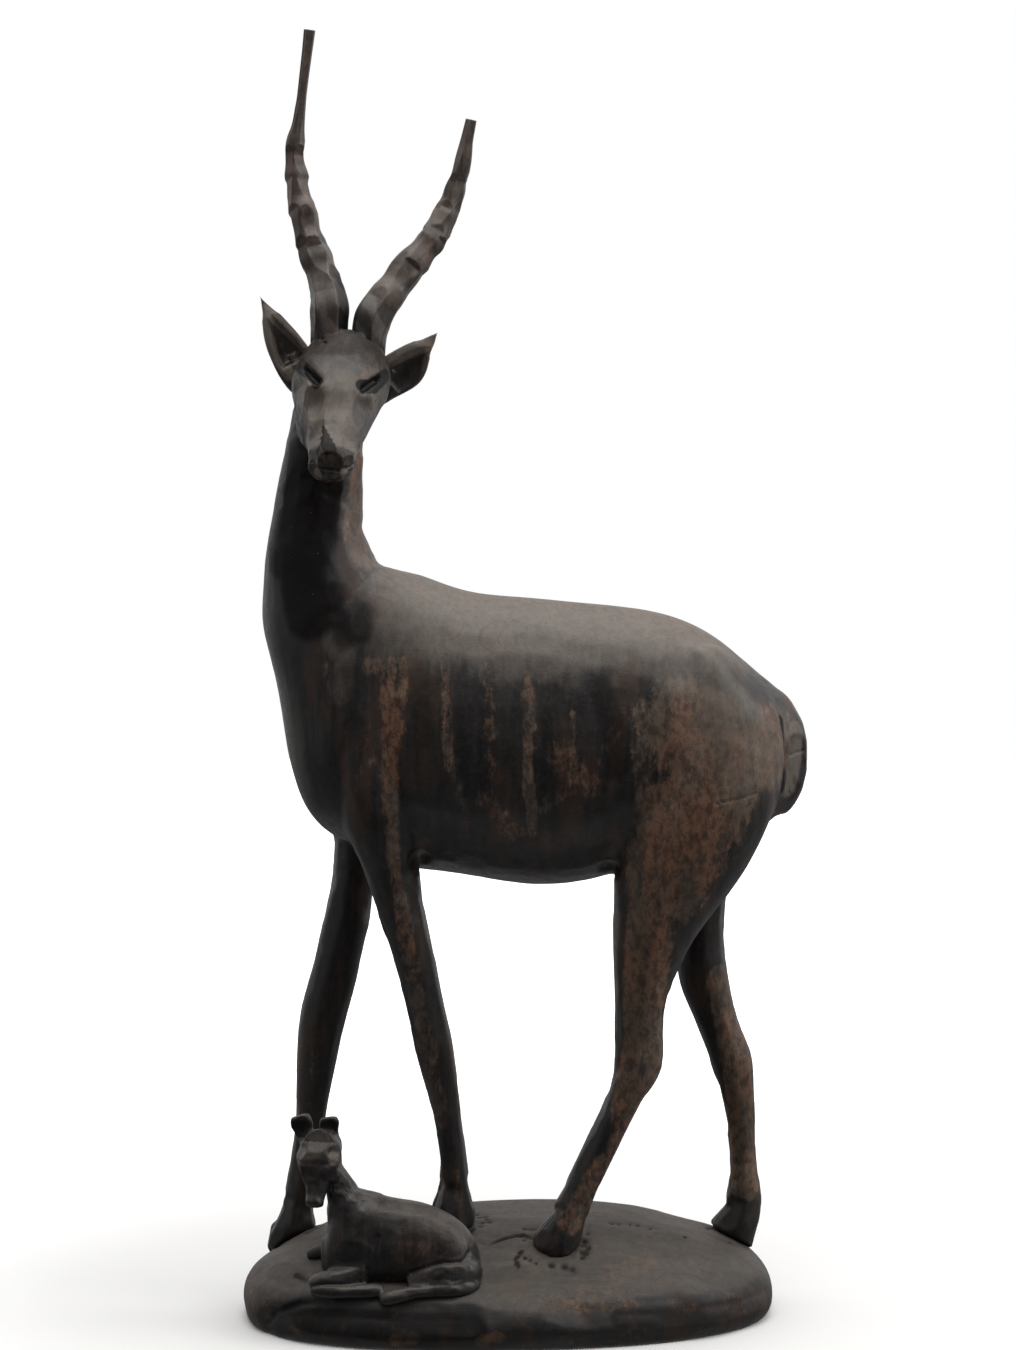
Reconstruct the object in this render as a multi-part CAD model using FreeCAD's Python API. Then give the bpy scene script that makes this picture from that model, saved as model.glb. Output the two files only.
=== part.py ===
"""Carved hardwood antelope standing over a resting fawn, on an oval mound.

The animal (trunk, neck, head, legs and tail) is carved from one upright log.  The horns and the
ears are carved separately, each with a round tenon glued into a socket in the head.  The animal
and the fawn stand on the mound on hidden dowels.  All sizes are in millimetres.

Frame: +Z up, the origin at the middle of the mound's flat underside, the animal facing -X.
"""

import FreeCAD, Part
import math
import os

Vector = FreeCAD.Vector
UP = Vector(0, 0, 1)
RIGHT = Vector(1, 0, 0)
AWAY = Vector(0, 1, 0)

# ---- Driving dimensions ------------------------------------------------------------------

BODY_LENGTH = 312.0      # breast to tail
BODY_WIDTH = 104.0       # widest part of the trunk
BELLY_HEIGHT = 250.0     # underside of the mound to the lowest point of the belly
CREST_HEIGHT = 310.0     # belly to the top of the head
HORN_RISE = 180.0        # top of the head to the tip of the longer horn

MOUND_CROWN = 55.5       # height of the mound at its crown
MOUND_FRONT_MARGIN = 26.0   # foremost hoof to the front end of the mound
MOUND_REAR_MARGIN = 20.0    # rearmost hoof to the rear end of the mound
MOUND_SIDE_MARGIN = 45.0    # outer hoof to the long side of the mound

HOOF_DOWEL_RADIUS = 3.0
HOOF_DOWEL_INTO_MOUND = 16.0
HOOF_DOWEL_INTO_LEG = 15.0
FAWN_DOWEL_RADIUS = 2.5
FAWN_DOWEL_INTO_MOUND = 12.0
FAWN_DOWEL_INTO_FAWN = 12.0
HORN_TENON_RADIUS = 5.0
HORN_TENON_LENGTH = 18.0
EAR_TENON_RADIUS = 3.0
EAR_TENON_LENGTH = 10.0
GLUE_GAP = 0.1           # on the radius of every dowel and tenon
HOLE_SPARE_DEPTH = 1.0   # glue room beyond the end of a dowel or tenon

# The carver's full-size pattern, whose stations are listed below, is drawn at these sizes.
# Stretching the pattern to the driving dimensions keeps every piece joined to its neighbours.
PATTERN_LENGTH = 312.0
PATTERN_WIDTH = 104.0
PATTERN_BELLY = 250.0
PATTERN_CREST = 310.0
PATTERN_HORN = 180.0


def stretch_height(z):
    """Height on the statue of a height on the pattern: legs, trunk and head, then horns."""
    belly = min(z, PATTERN_BELLY) * BELLY_HEIGHT / PATTERN_BELLY
    crest = min(max(z - PATTERN_BELLY, 0.0), PATTERN_CREST) * CREST_HEIGHT / PATTERN_CREST
    horn = max(z - PATTERN_BELLY - PATTERN_CREST, 0.0) * HORN_RISE / PATTERN_HORN
    return belly + crest + horn


def place(x, y, z):
    """Point on the statue of a point on the pattern."""
    return Vector(
        x * BODY_LENGTH / PATTERN_LENGTH, y * BODY_WIDTH / PATTERN_WIDTH, stretch_height(z)
    )


# ---- Section and loft helpers ------------------------------------------------------------

RING_POINTS = 16
WIDEST_SHARE = 0.46      # height at which a trunk is widest, as a share of its depth


def egg(centre, across, up, half_across, rise, drop, squareness=2.0):
    """Smooth closed wire about a centre: an oval with its own height above and below."""
    points = []
    power = 2.0 / squareness
    for i in range(RING_POINTS):
        turn = 2 * math.pi * i / RING_POINTS
        c = math.cos(turn)
        s = math.sin(turn)
        height = rise if s > 0 else drop
        side = math.copysign(abs(c) ** power, c) * half_across
        lift = math.copysign(abs(s) ** power, s) * height
        points.append(centre + across * side + up * lift)
    curve = Part.BSplineCurve()
    curve.interpolate(Points=points, PeriodicFlag=True)
    return Part.Wire(curve.toShape())


def loft(wires):
    """Closed smooth solid through a row of wires."""
    return Part.makeLoft(wires, True, False)


def upright_section(x, top, bottom, half_width, y):
    """Trunk section across an animal, widest at a set share of its height."""
    low = place(x, y, bottom)
    high = place(x, y, top)
    drop = (high.z - low.z) * WIDEST_SHARE
    rise = (high.z - low.z) - drop
    half = half_width * BODY_WIDTH / PATTERN_WIDTH
    return egg(low + UP * drop, AWAY, UP, half, rise, drop)


def level_section(z, front, back, y, half_y, squareness=2.0):
    """Level section of a leg, the neck or the tail, from its front to its back edge."""
    front_point = place(front, y, z)
    back_point = place(back, y, z)
    centre = (front_point + back_point) * 0.5
    half_x = (back_point.x - front_point.x) / 2
    half = half_y * BODY_WIDTH / PATTERN_WIDTH
    return egg(centre, RIGHT, AWAY, half_x, half, half, squareness)


def rod(start, direction, length, radius):
    """Round rod from a point along a direction."""
    return Part.makeCylinder(radius, length, start, direction)


def largest(shape):
    """The largest solid of a shape, without the offcuts that a cut leaves."""
    return max(shape.Solids, key=lambda solid: solid.Volume)


# ---- The mound ---------------------------------------------------------------------------

# Share of the crown height, share of the half length, share of the half depth, and how far
# the level's centre lies towards the rear and the far side, as shares of those halves.  The
# last level lies above the crown, which is planed off level.
MOUND_LEVELS = [
    (0.000, 0.980, 0.958, 0.000, 0.00),
    (0.200, 1.000, 1.000, 0.000, 0.00),
    (0.420, 0.980, 0.945, 0.000, 0.02),
    (0.600, 0.915, 0.810, 0.005, 0.07),
    (0.745, 0.820, 0.662, 0.010, 0.11),
    (0.855, 0.700, 0.525, 0.015, 0.14),
    (0.930, 0.560, 0.400, 0.020, 0.16),
    (0.980, 0.405, 0.280, 0.025, 0.18),
    (1.010, 0.240, 0.165, 0.030, 0.19),
    (1.025, 0.080, 0.055, 0.030, 0.19),
]
MOUND_SQUARENESS = 2.35
MOUND_TURN = 3.5         # degrees, its front end swung to the near side

# Where each leg meets the mound: pattern x and y of its dowel.
HOOVES = {
    "front_left": (-31.5, -8.0),
    "front_right": (-127.0, 27.0),
    "hind_left": (28.5, -25.0),
    "hind_right": (134.0, 25.0),
}


def mound_blank():
    """The mound before drilling.  Its plan follows from where the hooves stand."""
    hooves = [place(x, y, 0.0) for x, y in HOOVES.values()]
    front = min(p.x for p in hooves) - MOUND_FRONT_MARGIN
    rear = max(p.x for p in hooves) + MOUND_REAR_MARGIN
    half_length = (rear - front) / 2
    middle_x = (rear + front) / 2
    reach = max(p.y for p in hooves) - min(p.y for p in hooves)
    half_depth = reach / 2 + MOUND_SIDE_MARGIN + HOOF_DOWEL_RADIUS
    turn = math.radians(MOUND_TURN)
    along = Vector(math.cos(turn), math.sin(turn), 0)
    across = UP.cross(along)
    wires = []
    for height, length, depth, shift_x, shift_y in MOUND_LEVELS:
        centre = Vector(middle_x + shift_x * half_length, shift_y * half_depth, 0)
        centre = centre + UP * (height * MOUND_CROWN)
        half_y = depth * half_depth
        wire = egg(centre, along, across, length * half_length, half_y, half_y, MOUND_SQUARENESS)
        wires.append(wire)
    spoil = Part.makeBox(4 * half_length, 4 * half_depth, MOUND_CROWN)
    spoil.translate(Vector(middle_x - 2 * half_length, -2 * half_depth, MOUND_CROWN))
    return largest(loft(wires).cut(spoil))


def surface_height(solid, x, y):
    """Height of a solid's top surface over a point."""
    line = Part.makeLine(Vector(x, y, 0), Vector(x, y, 2 * MOUND_CROWN))
    return solid.common(line).BoundBox.ZMax


# ---- The standing animal -----------------------------------------------------------------

TRUNK_Y = 5.0            # the trunk's middle plane

# Pattern x, top, underside and half width of the trunk.
TRUNK = [
    (-108, 392, 312, 16),
    (-98, 416, 286, 34),
    (-80, 431, 268, 44),
    (-55, 428, 259.5, 49.5),
    (-25, 417.5, 255.5, 52),
    (8, 413.5, 250.5, 52),
    (40, 410.5, 251.5, 52),
    (70, 407.5, 258, 51),
    (95, 402, 264, 50),
    (118, 391, 270, 47),
    (136, 377, 277, 42),
    (150, 362, 286, 34),
    (159, 347, 300, 22),
    (163, 336, 314, 9),
]

# Pattern height, front edge, back edge, y and half width of the neck and breast.
NECK = [
    (556, -107, -84, 12, 11),
    (549, -114.5, -79, 12, 17),
    (536, -119, -77.5, 12, 20),
    (524, -122, -78.5, 12, 21),
    (508, -124.5, -81, 12, 22),
    (489, -128.5, -83.3, 11, 22.5),
    (472, -132, -83.8, 10, 23.5),
    (455, -135, -83.3, 9, 25),
    (441, -137.5, -78, 8, 27.5),
    (424, -139, -64, 7, 31),
    (406, -139.8, -54, 6, 35),
    (384, -136.3, -48, 5, 39),
    (360, -130.8, -46, 5, 41),
    (334, -126.8, -46, 5, 41.5),
    (310, -121.5, -50, 5, 38),
    (293, -114.5, -58, 5, 32),
    (281, -104, -68, 5, 24),
    (274, -95, -78, 5, 13),
]

# Pattern height, front edge, back edge, y and half width of each leg, down into the mound.
LEGS = {
    "front_left": [
        (395, -92, -62, 0, 26),
        (370, -96, -55, -6, 30),
        (345, -99, -50, -11, 29),
        (320, -99, -48, -15.5, 26.5),
        (298, -96, -47.5, -19.5, 22.5),
        (277, -89.5, -48.5, -21, 18.5),
        (263, -83, -50, -21, 15.5),
        (248, -77, -49.2, -20.5, 14),
        (232, -71.8, -46.2, -20, 13),
        (214, -65.8, -42.7, -18.5, 12.3),
        (197, -61.2, -39.8, -17, 11.5),
        (180, -57, -36.5, -15.5, 10.8),
        (164, -54, -33, -14, 10.4),
        (147, -50, -30.5, -12.5, 9.6),
        (129, -45, -28.5, -11, 8.4),
        (111, -41, -26.6, -9.5, 7.6),
        (93, -39, -24.3, -8.5, 7.8),
        (79, -39, -23, -8, 8.8),
        (66, -42, -21.2, -8, 10.4),
        (54, -42, -20.5, -8, 10.8),
        (38, -41, -20.5, -8, 10.4),
        (22, -40, -21, -8, 9.6),
    ],
    "front_right": [
        (330, -108, -66, 26, 22),
        (300, -106, -68, 28, 21),
        (276, -103, -71, 30, 17),
        (258, -102, -75, 31, 14.5),
        (242, -104, -79.5, 31, 13.5),
        (225, -107.5, -81.5, 31, 13),
        (207, -111.5, -85.5, 31, 12.6),
        (189, -116, -89.5, 31, 12.5),
        (172, -120.5, -94, 30.5, 12.3),
        (154, -122.5, -98.5, 30, 11.4),
        (136, -123, -102.5, 29.5, 10.2),
        (118, -123.2, -106.5, 29, 8.8),
        (100, -124.2, -109.5, 28.5, 7.9),
        (82, -127, -112, 28, 8),
        (66, -130, -114.3, 27.5, 8.6),
        (52, -133.5, -115.5, 27, 9.6),
        (40, -138.5, -115, 27, 10.4),
        (28, -140.5, -117, 27, 10),
        (16, -139, -119, 27, 9),
    ],
    "hind_left": [
        (388, 92, 122, 2, 28),
        (366, 82, 140, -4, 34),
        (344, 74, 150, -9.5, 35),
        (320, 67, 153.5, -14, 34),
        (298, 62, 150.5, -17, 32),
        (280, 60.5, 143.5, -19, 29.5),
        (262, 60, 133.5, -20, 26),
        (244, 60, 121, -21, 22.5),
        (223, 60, 106, -22, 18.5),
        (204, 60.5, 96, -22.5, 15.8),
        (189, 61, 90.3, -23, 14),
        (171, 61, 87.8, -23, 12.6),
        (152, 60.8, 87.2, -23, 12),
        (142, 59.5, 83.8, -23, 11.5),
        (131, 56, 76.5, -23, 10.6),
        (113, 48, 67, -23.5, 9.6),
        (91, 37.5, 56.4, -24, 9.2),
        (73, 28.8, 48.2, -24.5, 9.6),
        (59, 20, 43.5, -25, 10.8),
        (46, 13.5, 40, -25, 11.6),
        (32, 13, 40, -25, 11.2),
        (18, 15, 39, -25, 10),
    ],
    "hind_right": [
        (330, 84, 146, 22, 26),
        (300, 88, 145, 25, 27),
        (276, 92, 137.5, 27, 24),
        (258, 96, 130.5, 28.5, 20),
        (240, 98.5, 127.5, 29, 17),
        (223, 99.5, 126, 29.5, 15),
        (206, 99.5, 126, 29.5, 13.8),
        (189, 101, 128, 29, 12.8),
        (172, 107, 131, 28.5, 12),
        (154, 114.5, 137.5, 28, 11.3),
        (144, 118, 141.5, 27.5, 10.8),
        (134, 121.5, 143, 27, 10.2),
        (118, 126.5, 144, 26.5, 9),
        (100, 129.5, 144.7, 26, 8.2),
        (82, 131, 145.7, 25.5, 8),
        (67, 130.2, 147.7, 25, 8.8),
        (56, 127, 148.3, 25, 9.8),
        (45, 121, 145.8, 25, 10.8),
        (33, 119, 143.3, 25, 10.4),
        (20, 121, 144, 25, 9.4),
    ],
}

# The tail hugs the rump and curls under.
TAIL = [
    (367, 128, 140, 5, 8),
    (359, 137, 153, 5, 11),
    (349, 145, 163.3, 5, 13),
    (338, 149.5, 168.8, 5, 14.3),
    (326, 151.5, 171, 5, 14.8),
    (314, 151.5, 170.8, 5, 14.2),
    (303, 151, 168, 5, 12),
    (294, 152, 163, 5, 8.5),
    (289.5, 154, 159, 5, 3.5),
]

# The head: its root point, how far the face is pitched down, leans over and turns to the rear,
# and for each station the distance along the axis, sideways shift of its middle, half width,
# height above the axis and depth below it.
HEAD_ROOT = (-91.5, 5.0, 547.5)
HEAD_PITCH = 49.0
HEAD_LEAN = 8.0
HEAD_TURN = 3.0
HEAD = [
    (-13, 0, 10, 11, 10, 2.0),
    (-8, 0, 18, 17.5, 16, 2.0),
    (2, 0, 24, 21.5, 21, 2.1),
    (15, -0.7, 26.8, 21.5, 24, 2.4),
    (28, -2.2, 25.4, 20, 26, 2.4),
    (40, -2.8, 22.8, 18, 24, 2.3),
    (51, -2.2, 19.4, 15.5, 20, 2.2),
    (60, -1.0, 15.8, 13.5, 16, 2.2),
    (68, -0.3, 13.2, 12.2, 13, 2.3),
    (76, 0, 12.2, 11.2, 11.5, 2.4),
    (81.5, 0, 10, 9, 10, 2.3),
    (84.5, 0, 6, 5.5, 6, 2.1),
    (85.3, 0, 3, 2.5, 2.5, 2.0),
]


def head_frame():
    """Axis towards the nose, direction across the face, and outward normal of the face."""
    pitch = math.radians(HEAD_PITCH)
    lean = math.radians(HEAD_LEAN)
    turn = math.radians(HEAD_TURN)
    forward = Vector(math.sin(turn), -math.cos(turn), 0)
    down = Vector(-math.sin(lean), 0, -math.cos(lean))
    sideways = Vector(math.cos(lean), 0, -math.sin(lean))
    axis = (forward * math.cos(pitch) + down * math.sin(pitch)).normalize()
    face = axis.cross(sideways).normalize()
    return axis, face.cross(axis), face


def head_blank():
    """The head as a tapering block, from the poll to the lips."""
    axis, across, face = head_frame()
    root = place(*HEAD_ROOT)
    wires = []
    for along, shift, half_width, rise, drop, squareness in HEAD:
        centre = root + axis * along + across * shift
        wires.append(egg(centre, across, face, half_width, rise, drop, squareness))
    return loft(wires)


def animal_blank(mound):
    """Trunk, neck, head, legs and tail as one piece, its hooves scribed to the mound."""
    trunk = loft([upright_section(*row, TRUNK_Y) for row in TRUNK])
    limbs = [loft([level_section(*row) for row in NECK]), head_blank()]
    limbs += [loft([level_section(*row) for row in rows]) for rows in LEGS.values()]
    limbs.append(loft([level_section(*row) for row in TAIL]))
    return largest(trunk.multiFuse(limbs).cut(mound))


# ---- Horns -------------------------------------------------------------------------------

# Pattern point on the axis and diameter there; the rings swell and narrow in turn.
HORN_LEFT = [
    (-79.8, 0.5, 546, 18.8),
    (-78.6, 3.4, 561.5, 19.4),
    (-76.8, 5.7, 570.5, 21.4),
    (-73.4, 8.1, 577.5, 21.0),
    (-68.3, 10.4, 584.5, 19.6),
    (-63.8, 12.8, 591, 17.0),
    (-58.7, 15.1, 598, 18.6),
    (-53.5, 17.5, 604.5, 17.8),
    (-48.3, 19.8, 611, 15.0),
    (-43.7, 22.2, 616.5, 16.8),
    (-38.8, 24.5, 625.5, 14.0),
    (-35.3, 26.2, 632.5, 14.4),
    (-32.4, 27, 639.5, 11.4),
    (-29.9, 26.7, 646.5, 11.4),
    (-27.4, 25.5, 654.2, 9),
    (-25.3, 24.4, 663.3, 8.6),
    (-23.1, 23.2, 673.5, 7),
    (-20.6, 22, 685, 5.8),
]
HORN_RIGHT = [
    (-100.8, 0, 547.5, 20.4),
    (-101.1, 3.5, 565.5, 20.4),
    (-101.2, 5.9, 577, 22.4),
    (-102.2, 8.4, 585, 21.6),
    (-103.4, 10.8, 590.7, 20),
    (-106.4, 13.3, 599, 16.4),
    (-109.2, 15.7, 606, 18.4),
    (-111.7, 18.2, 612.6, 17.4),
    (-114.5, 20.6, 621.5, 14.4),
    (-116.8, 23.1, 632, 16.0),
    (-119.1, 25.6, 641, 13.0),
    (-120.8, 27.6, 652.8, 13.2),
    (-121.6, 28.6, 661.5, 10.4),
    (-121.6, 29, 670, 10.6),
    (-121.3, 28.8, 675, 9.4),
    (-119.8, 28.1, 683.5, 6.2),
    (-118, 26.8, 696, 5),
    (-116.2, 25.5, 709, 4.9),
    (-114.3, 24.3, 722.5, 5.1),
    (-112.6, 23, 735.5, 5.7),
]


def tangent(points, i):
    """Direction of a row of points at one of them."""
    before = points[max(i - 1, 0)]
    after = points[min(i + 1, len(points) - 1)]
    return (after - before).normalize()


def horn(stations, head):
    """A ringed horn scribed to the head, with its round tenon."""
    points = [place(x, y, z) for x, y, z, _ in stations]
    wires = []
    for i, (_, _, _, diameter) in enumerate(stations):
        along = tangent(points, i)
        across = along.cross(AWAY).normalize() * -1
        radius = diameter / 2
        wires.append(egg(points[i], across, across.cross(along), radius, radius, radius))
    ringed = Part.makeLoft(wires, True, True)
    blank = largest(ringed.cut(head))
    return blank.fuse(horn_rod(stations, HORN_TENON_RADIUS, 0.0))


def horn_rod(stations, radius, spare):
    """The tenon of a horn, or with spare depth the drill for its socket."""
    root = place(*stations[1][:3])
    into = (place(*stations[0][:3]) - place(*stations[2][:3])).normalize()
    start = root - into * HORN_TENON_RADIUS
    return rod(start, into, HORN_TENON_RADIUS + HORN_TENON_LENGTH + spare, radius)


# ---- Ears --------------------------------------------------------------------------------

# Root and tip on the pattern, and the direction that the ear's hollow faces.
EARS = {
    "right": {
        "root": (-119.6, 12, 546.5),
        "tip": (-140.3, 12, 584.5),
        "faces": (0.35, -0.9, 0.1),
        "hollow_shift": 0.6,
        # share of the length, sideways shift of the middle, half width, half thickness
        "blade": [
            (-0.46, 0.2, 4.0, 2.6),
            (-0.40, 0.4, 7.6, 3.8),
            (-0.26, 0.8, 10.8, 4.8),
            (-0.12, 1.0, 11.7, 5.2),
            (0.00, 1.2, 11.8, 5.2),
            (0.18, 1.4, 11.2, 5.0),
            (0.36, 1.6, 10.0, 4.5),
            (0.60, 1.3, 7.0, 3.5),
            (0.82, 0.7, 3.8, 2.3),
            (1.00, 0.0, 0.8, 0.8),
        ],
    },
    "left": {
        "root": (-70.2, 12, 539),
        "tip": (-40.6, 12, 564),
        "faces": (-0.1, -0.95, -0.3),
        "hollow_shift": 2.4,
        "blade": [
            (-0.46, 0.4, 4.0, 2.6),
            (-0.40, 0.6, 7.6, 3.8),
            (-0.27, 0.8, 10.4, 4.8),
            (-0.13, 1.1, 11.0, 5.2),
            (0.00, 1.7, 11.5, 5.2),
            (0.16, 2.8, 11.8, 5.0),
            (0.34, 3.6, 11.4, 4.5),
            (0.56, 2.9, 8.8, 3.6),
            (0.78, 1.6, 5.2, 2.4),
            (1.00, 0.0, 0.8, 0.8),
        ],
    },
}
EAR_WALL = 3.2
EAR_HOLLOW = (0.02, 0.88)    # shares of the length between which the ear is hollowed
EAR_GOUGE_LIFT = 3.9         # how far the gouge's path stands off the blade's middle


def ear_frame(ear):
    """Root, axis, length, direction across the blade and direction that its hollow faces."""
    root = place(*ear["root"])
    reach = place(*ear["tip"]) - root
    axis = Vector(reach).normalize()
    across = axis.cross(Vector(*ear["faces"])).normalize()
    return root, axis, reach.Length, across, across.cross(axis)


def share_left(share):
    """Falls from 1 at the root of an ear to 0 at its tip."""
    return max(0.0, 1.0 - share)


def ear_blade(ear, wall=0.0, start=0.0, end=1.0):
    """Leaf-shaped blade; with a wall, the gouge's path that hollows its forward face."""
    root, axis, length, across, faces = ear_frame(ear)
    outward = 1 if across.z < 0 else -1
    hollowing = wall > 0
    wires = []
    for share, shift, half_width, half_thick in ear["blade"]:
        if hollowing and share < 0:
            continue
        if hollowing:
            shift = shift + ear["hollow_shift"] * share_left(share)
        along = (start + (end - start) * share) * length
        centre = root + axis * along + across * (shift * outward)
        if hollowing:
            centre = centre + faces * EAR_GOUGE_LIFT
        side = max(half_width - wall, 0.5)
        deep = max(half_thick - wall * 0.2, 0.5)
        wires.append(egg(centre, across, faces, side, deep, deep))
    return loft(wires)


def ear(ear, head):
    """A cupped ear scribed to the head, with its round tenon."""
    hollow = ear_blade(ear, EAR_WALL, *EAR_HOLLOW)
    blade = largest(ear_blade(ear).cut(hollow).cut(head))
    return blade.fuse(ear_rod(ear, EAR_TENON_RADIUS, 0.0))


def ear_rod(ear, radius, spare):
    """The tenon of an ear, or with spare depth the drill for its socket."""
    root, axis, length, _, faces = ear_frame(ear)
    start = root + axis * (0.16 * length) - faces * (EAR_WALL * 0.4)
    reach = 0.16 * length + EAR_TENON_LENGTH + spare
    return rod(start, axis * -1, reach, radius)


# ---- The fawn ----------------------------------------------------------------------------

FAWN_Y = -41.0

# Pattern x, top, underside and half width of the fawn's trunk.
FAWN_TRUNK = [
    (-105, 56, 38, 6),
    (-100, 68, 30, 12),
    (-90, 82, 26, 16),
    (-78, 80.5, 26, 17.5),
    (-64, 76, 26, 17.5),
    (-50, 73.5, 26, 17.5),
    (-37, 69, 26, 17.5),
    (-26, 62.5, 26, 16),
    (-19, 54, 26, 12.5),
    (-15.5, 44, 30, 7),
]

# Pattern height, front edge, back edge, y and half width of the fawn's neck.
FAWN_NECK = [
    (112, -108, -94, -39, 7),
    (106, -110, -92, -39, 10),
    (96, -109, -91.5, -39, 11),
    (86, -104, -86.5, -40, 12),
    (76, -102, -80, -40, 13.5),
    (64, -101.5, -73, -41, 15.5),
    (50, -101, -70, -41, 16),
    (34, -99, -72, -41, 14),
]

# The fawn's head, in the same terms as the animal's.
FAWN_HEAD_ROOT = (-103.5, -42.0, 109.0)
FAWN_HEAD_PITCH = 60.0
FAWN_HEAD_YAW = 14.0
FAWN_HEAD = [
    (-7, 5, 5, 5),
    (-4, 9, 8, 8.5),
    (2, 12, 10.2, 11),
    (10, 12.3, 9.8, 12),
    (18, 10, 7.6, 10.5),
    (26, 7, 5.8, 7.5),
    (34, 5.6, 4.8, 5.6),
    (39, 4.6, 4, 4.4),
    (41, 2, 1.8, 1.8),
]

# Ear centres on the pattern: root and blunt tip, with half widths there and half thickness.
FAWN_EARS = [
    ((-111.5, -38, 108), (-116, -36, 123.5), 4.2, 5.8, 2.6),
    ((-98, -38, 108), (-99.5, -36, 122.5), 4.2, 5.2, 2.6),
]

# Folded legs: points along each, and the half width and half height of the limb there.
FAWN_LEGS = [
    # near foreleg, folded back under the breast
    [((-80, -54, 40), 6, 7), ((-98, -57, 35.5), 6, 6.5), ((-107, -57.5, 33.5), 5, 5.5),
     ((-110.5, -58, 32.5), 3, 3.5)],
    [((-109, -59, 31.5), 3, 3.5), ((-102, -61, 31), 4.5, 4.6), ((-88, -62, 31), 4.2, 4.2),
     ((-74, -61.5, 31), 4, 4), ((-69, -61, 31), 2.4, 2.6)],
    # far foreleg, reaching forward
    [((-84, -30, 42), 6, 7), ((-97, -28, 43), 5, 6), ((-108, -27, 42), 4.2, 5),
     ((-114, -26.5, 40), 2.4, 3)],
    # near hind leg, folded forward along the flank
    [((-17, -46, 37), 4, 5), ((-24, -53, 38), 8, 9), ((-38, -55.5, 38), 8, 9),
     ((-50, -56.5, 35), 5, 6), ((-56, -57, 33), 2.6, 3)],
    [((-15.5, -52, 31.5), 2.6, 3.2), ((-22, -58.5, 32), 4.6, 4.8), ((-40, -62, 31.5), 4.3, 4.4),
     ((-56, -64, 30), 4.2, 4.2), ((-67, -66, 28), 4.4, 4.2), ((-71, -66.5, 27), 2.4, 2.6)],
]

FAWN_DOWELS = {"front": (-86.0, -41.0), "rear": (-36.0, -41.0)}


def fawn_head():
    """The fawn's small head, turned a little and pointing down."""
    pitch = math.radians(FAWN_HEAD_PITCH)
    yaw = math.radians(FAWN_HEAD_YAW)
    level = Vector(-math.sin(yaw), -math.cos(yaw), 0)
    across = Vector(math.cos(yaw), -math.sin(yaw), 0)
    axis = level * math.cos(pitch) - UP * math.sin(pitch)
    face = axis.cross(across)
    root = place(*FAWN_HEAD_ROOT)
    wires = [
        egg(root + axis * along, across, face, half_width, rise, drop)
        for along, half_width, rise, drop in FAWN_HEAD
    ]
    return loft(wires)


def fawn_ear(root, tip, root_half, tip_half, thickness):
    """A blunt upright ear."""
    low = place(*root)
    high = place(*tip)
    axis = (high - low).normalize()
    across = AWAY.cross(axis).normalize()
    faces = across.cross(axis)
    shares = [(-0.1, 1.0), (0.4, 1.0), (0.85, 1.0), (1.0, 0.8)]
    wires = []
    for share, fullness in shares:
        half = (root_half + (tip_half - root_half) * share) * fullness
        centre = low + (high - low) * share
        wires.append(egg(centre, across, faces, half, thickness, thickness, 3.0))
    return loft(wires)


def fawn_limb(stations):
    """A folded limb along its points."""
    points = [place(*point) for point, _, _ in stations]
    wires = []
    for i, (_, half_width, half_height) in enumerate(stations):
        along = tangent(points, i)
        across = along.cross(UP).normalize()
        lift = across.cross(along)
        wires.append(egg(points[i], across, lift, half_width, half_height, half_height))
    return loft(wires)


def fawn_blank(mound):
    """The fawn as one piece, its underside scribed to the mound."""
    whole = loft([upright_section(*row, FAWN_Y) for row in FAWN_TRUNK])
    parts = [loft([level_section(*row) for row in FAWN_NECK]), fawn_head()]
    parts += [fawn_ear(*row) for row in FAWN_EARS]
    parts += [fawn_limb(rows) for rows in FAWN_LEGS]
    return largest(whole.multiFuse(parts).cut(mound))


# ---- Dowels ------------------------------------------------------------------------------


def upright_dowel(mound, x, y, radius, down, up, spare=0.0):
    """A dowel standing in the mound, or with spare depth the drill for its hole."""
    point = place(x, y, 0.0)
    surface = surface_height(mound, point.x, point.y)
    start = Vector(point.x, point.y, surface - down - spare)
    return rod(start, UP, down + up + 2 * spare, radius)


def hoof_dowel(mound, hoof, radius=HOOF_DOWEL_RADIUS, spare=0.0):
    x, y = HOOVES[hoof]
    return upright_dowel(
        mound, x, y, radius, HOOF_DOWEL_INTO_MOUND, HOOF_DOWEL_INTO_LEG, spare
    )


def fawn_dowel(mound, end, radius=FAWN_DOWEL_RADIUS, spare=0.0):
    x, y = FAWN_DOWELS[end]
    return upright_dowel(
        mound, x, y, radius, FAWN_DOWEL_INTO_MOUND, FAWN_DOWEL_INTO_FAWN, spare
    )


# ---- Assembly ----------------------------------------------------------------------------


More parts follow.
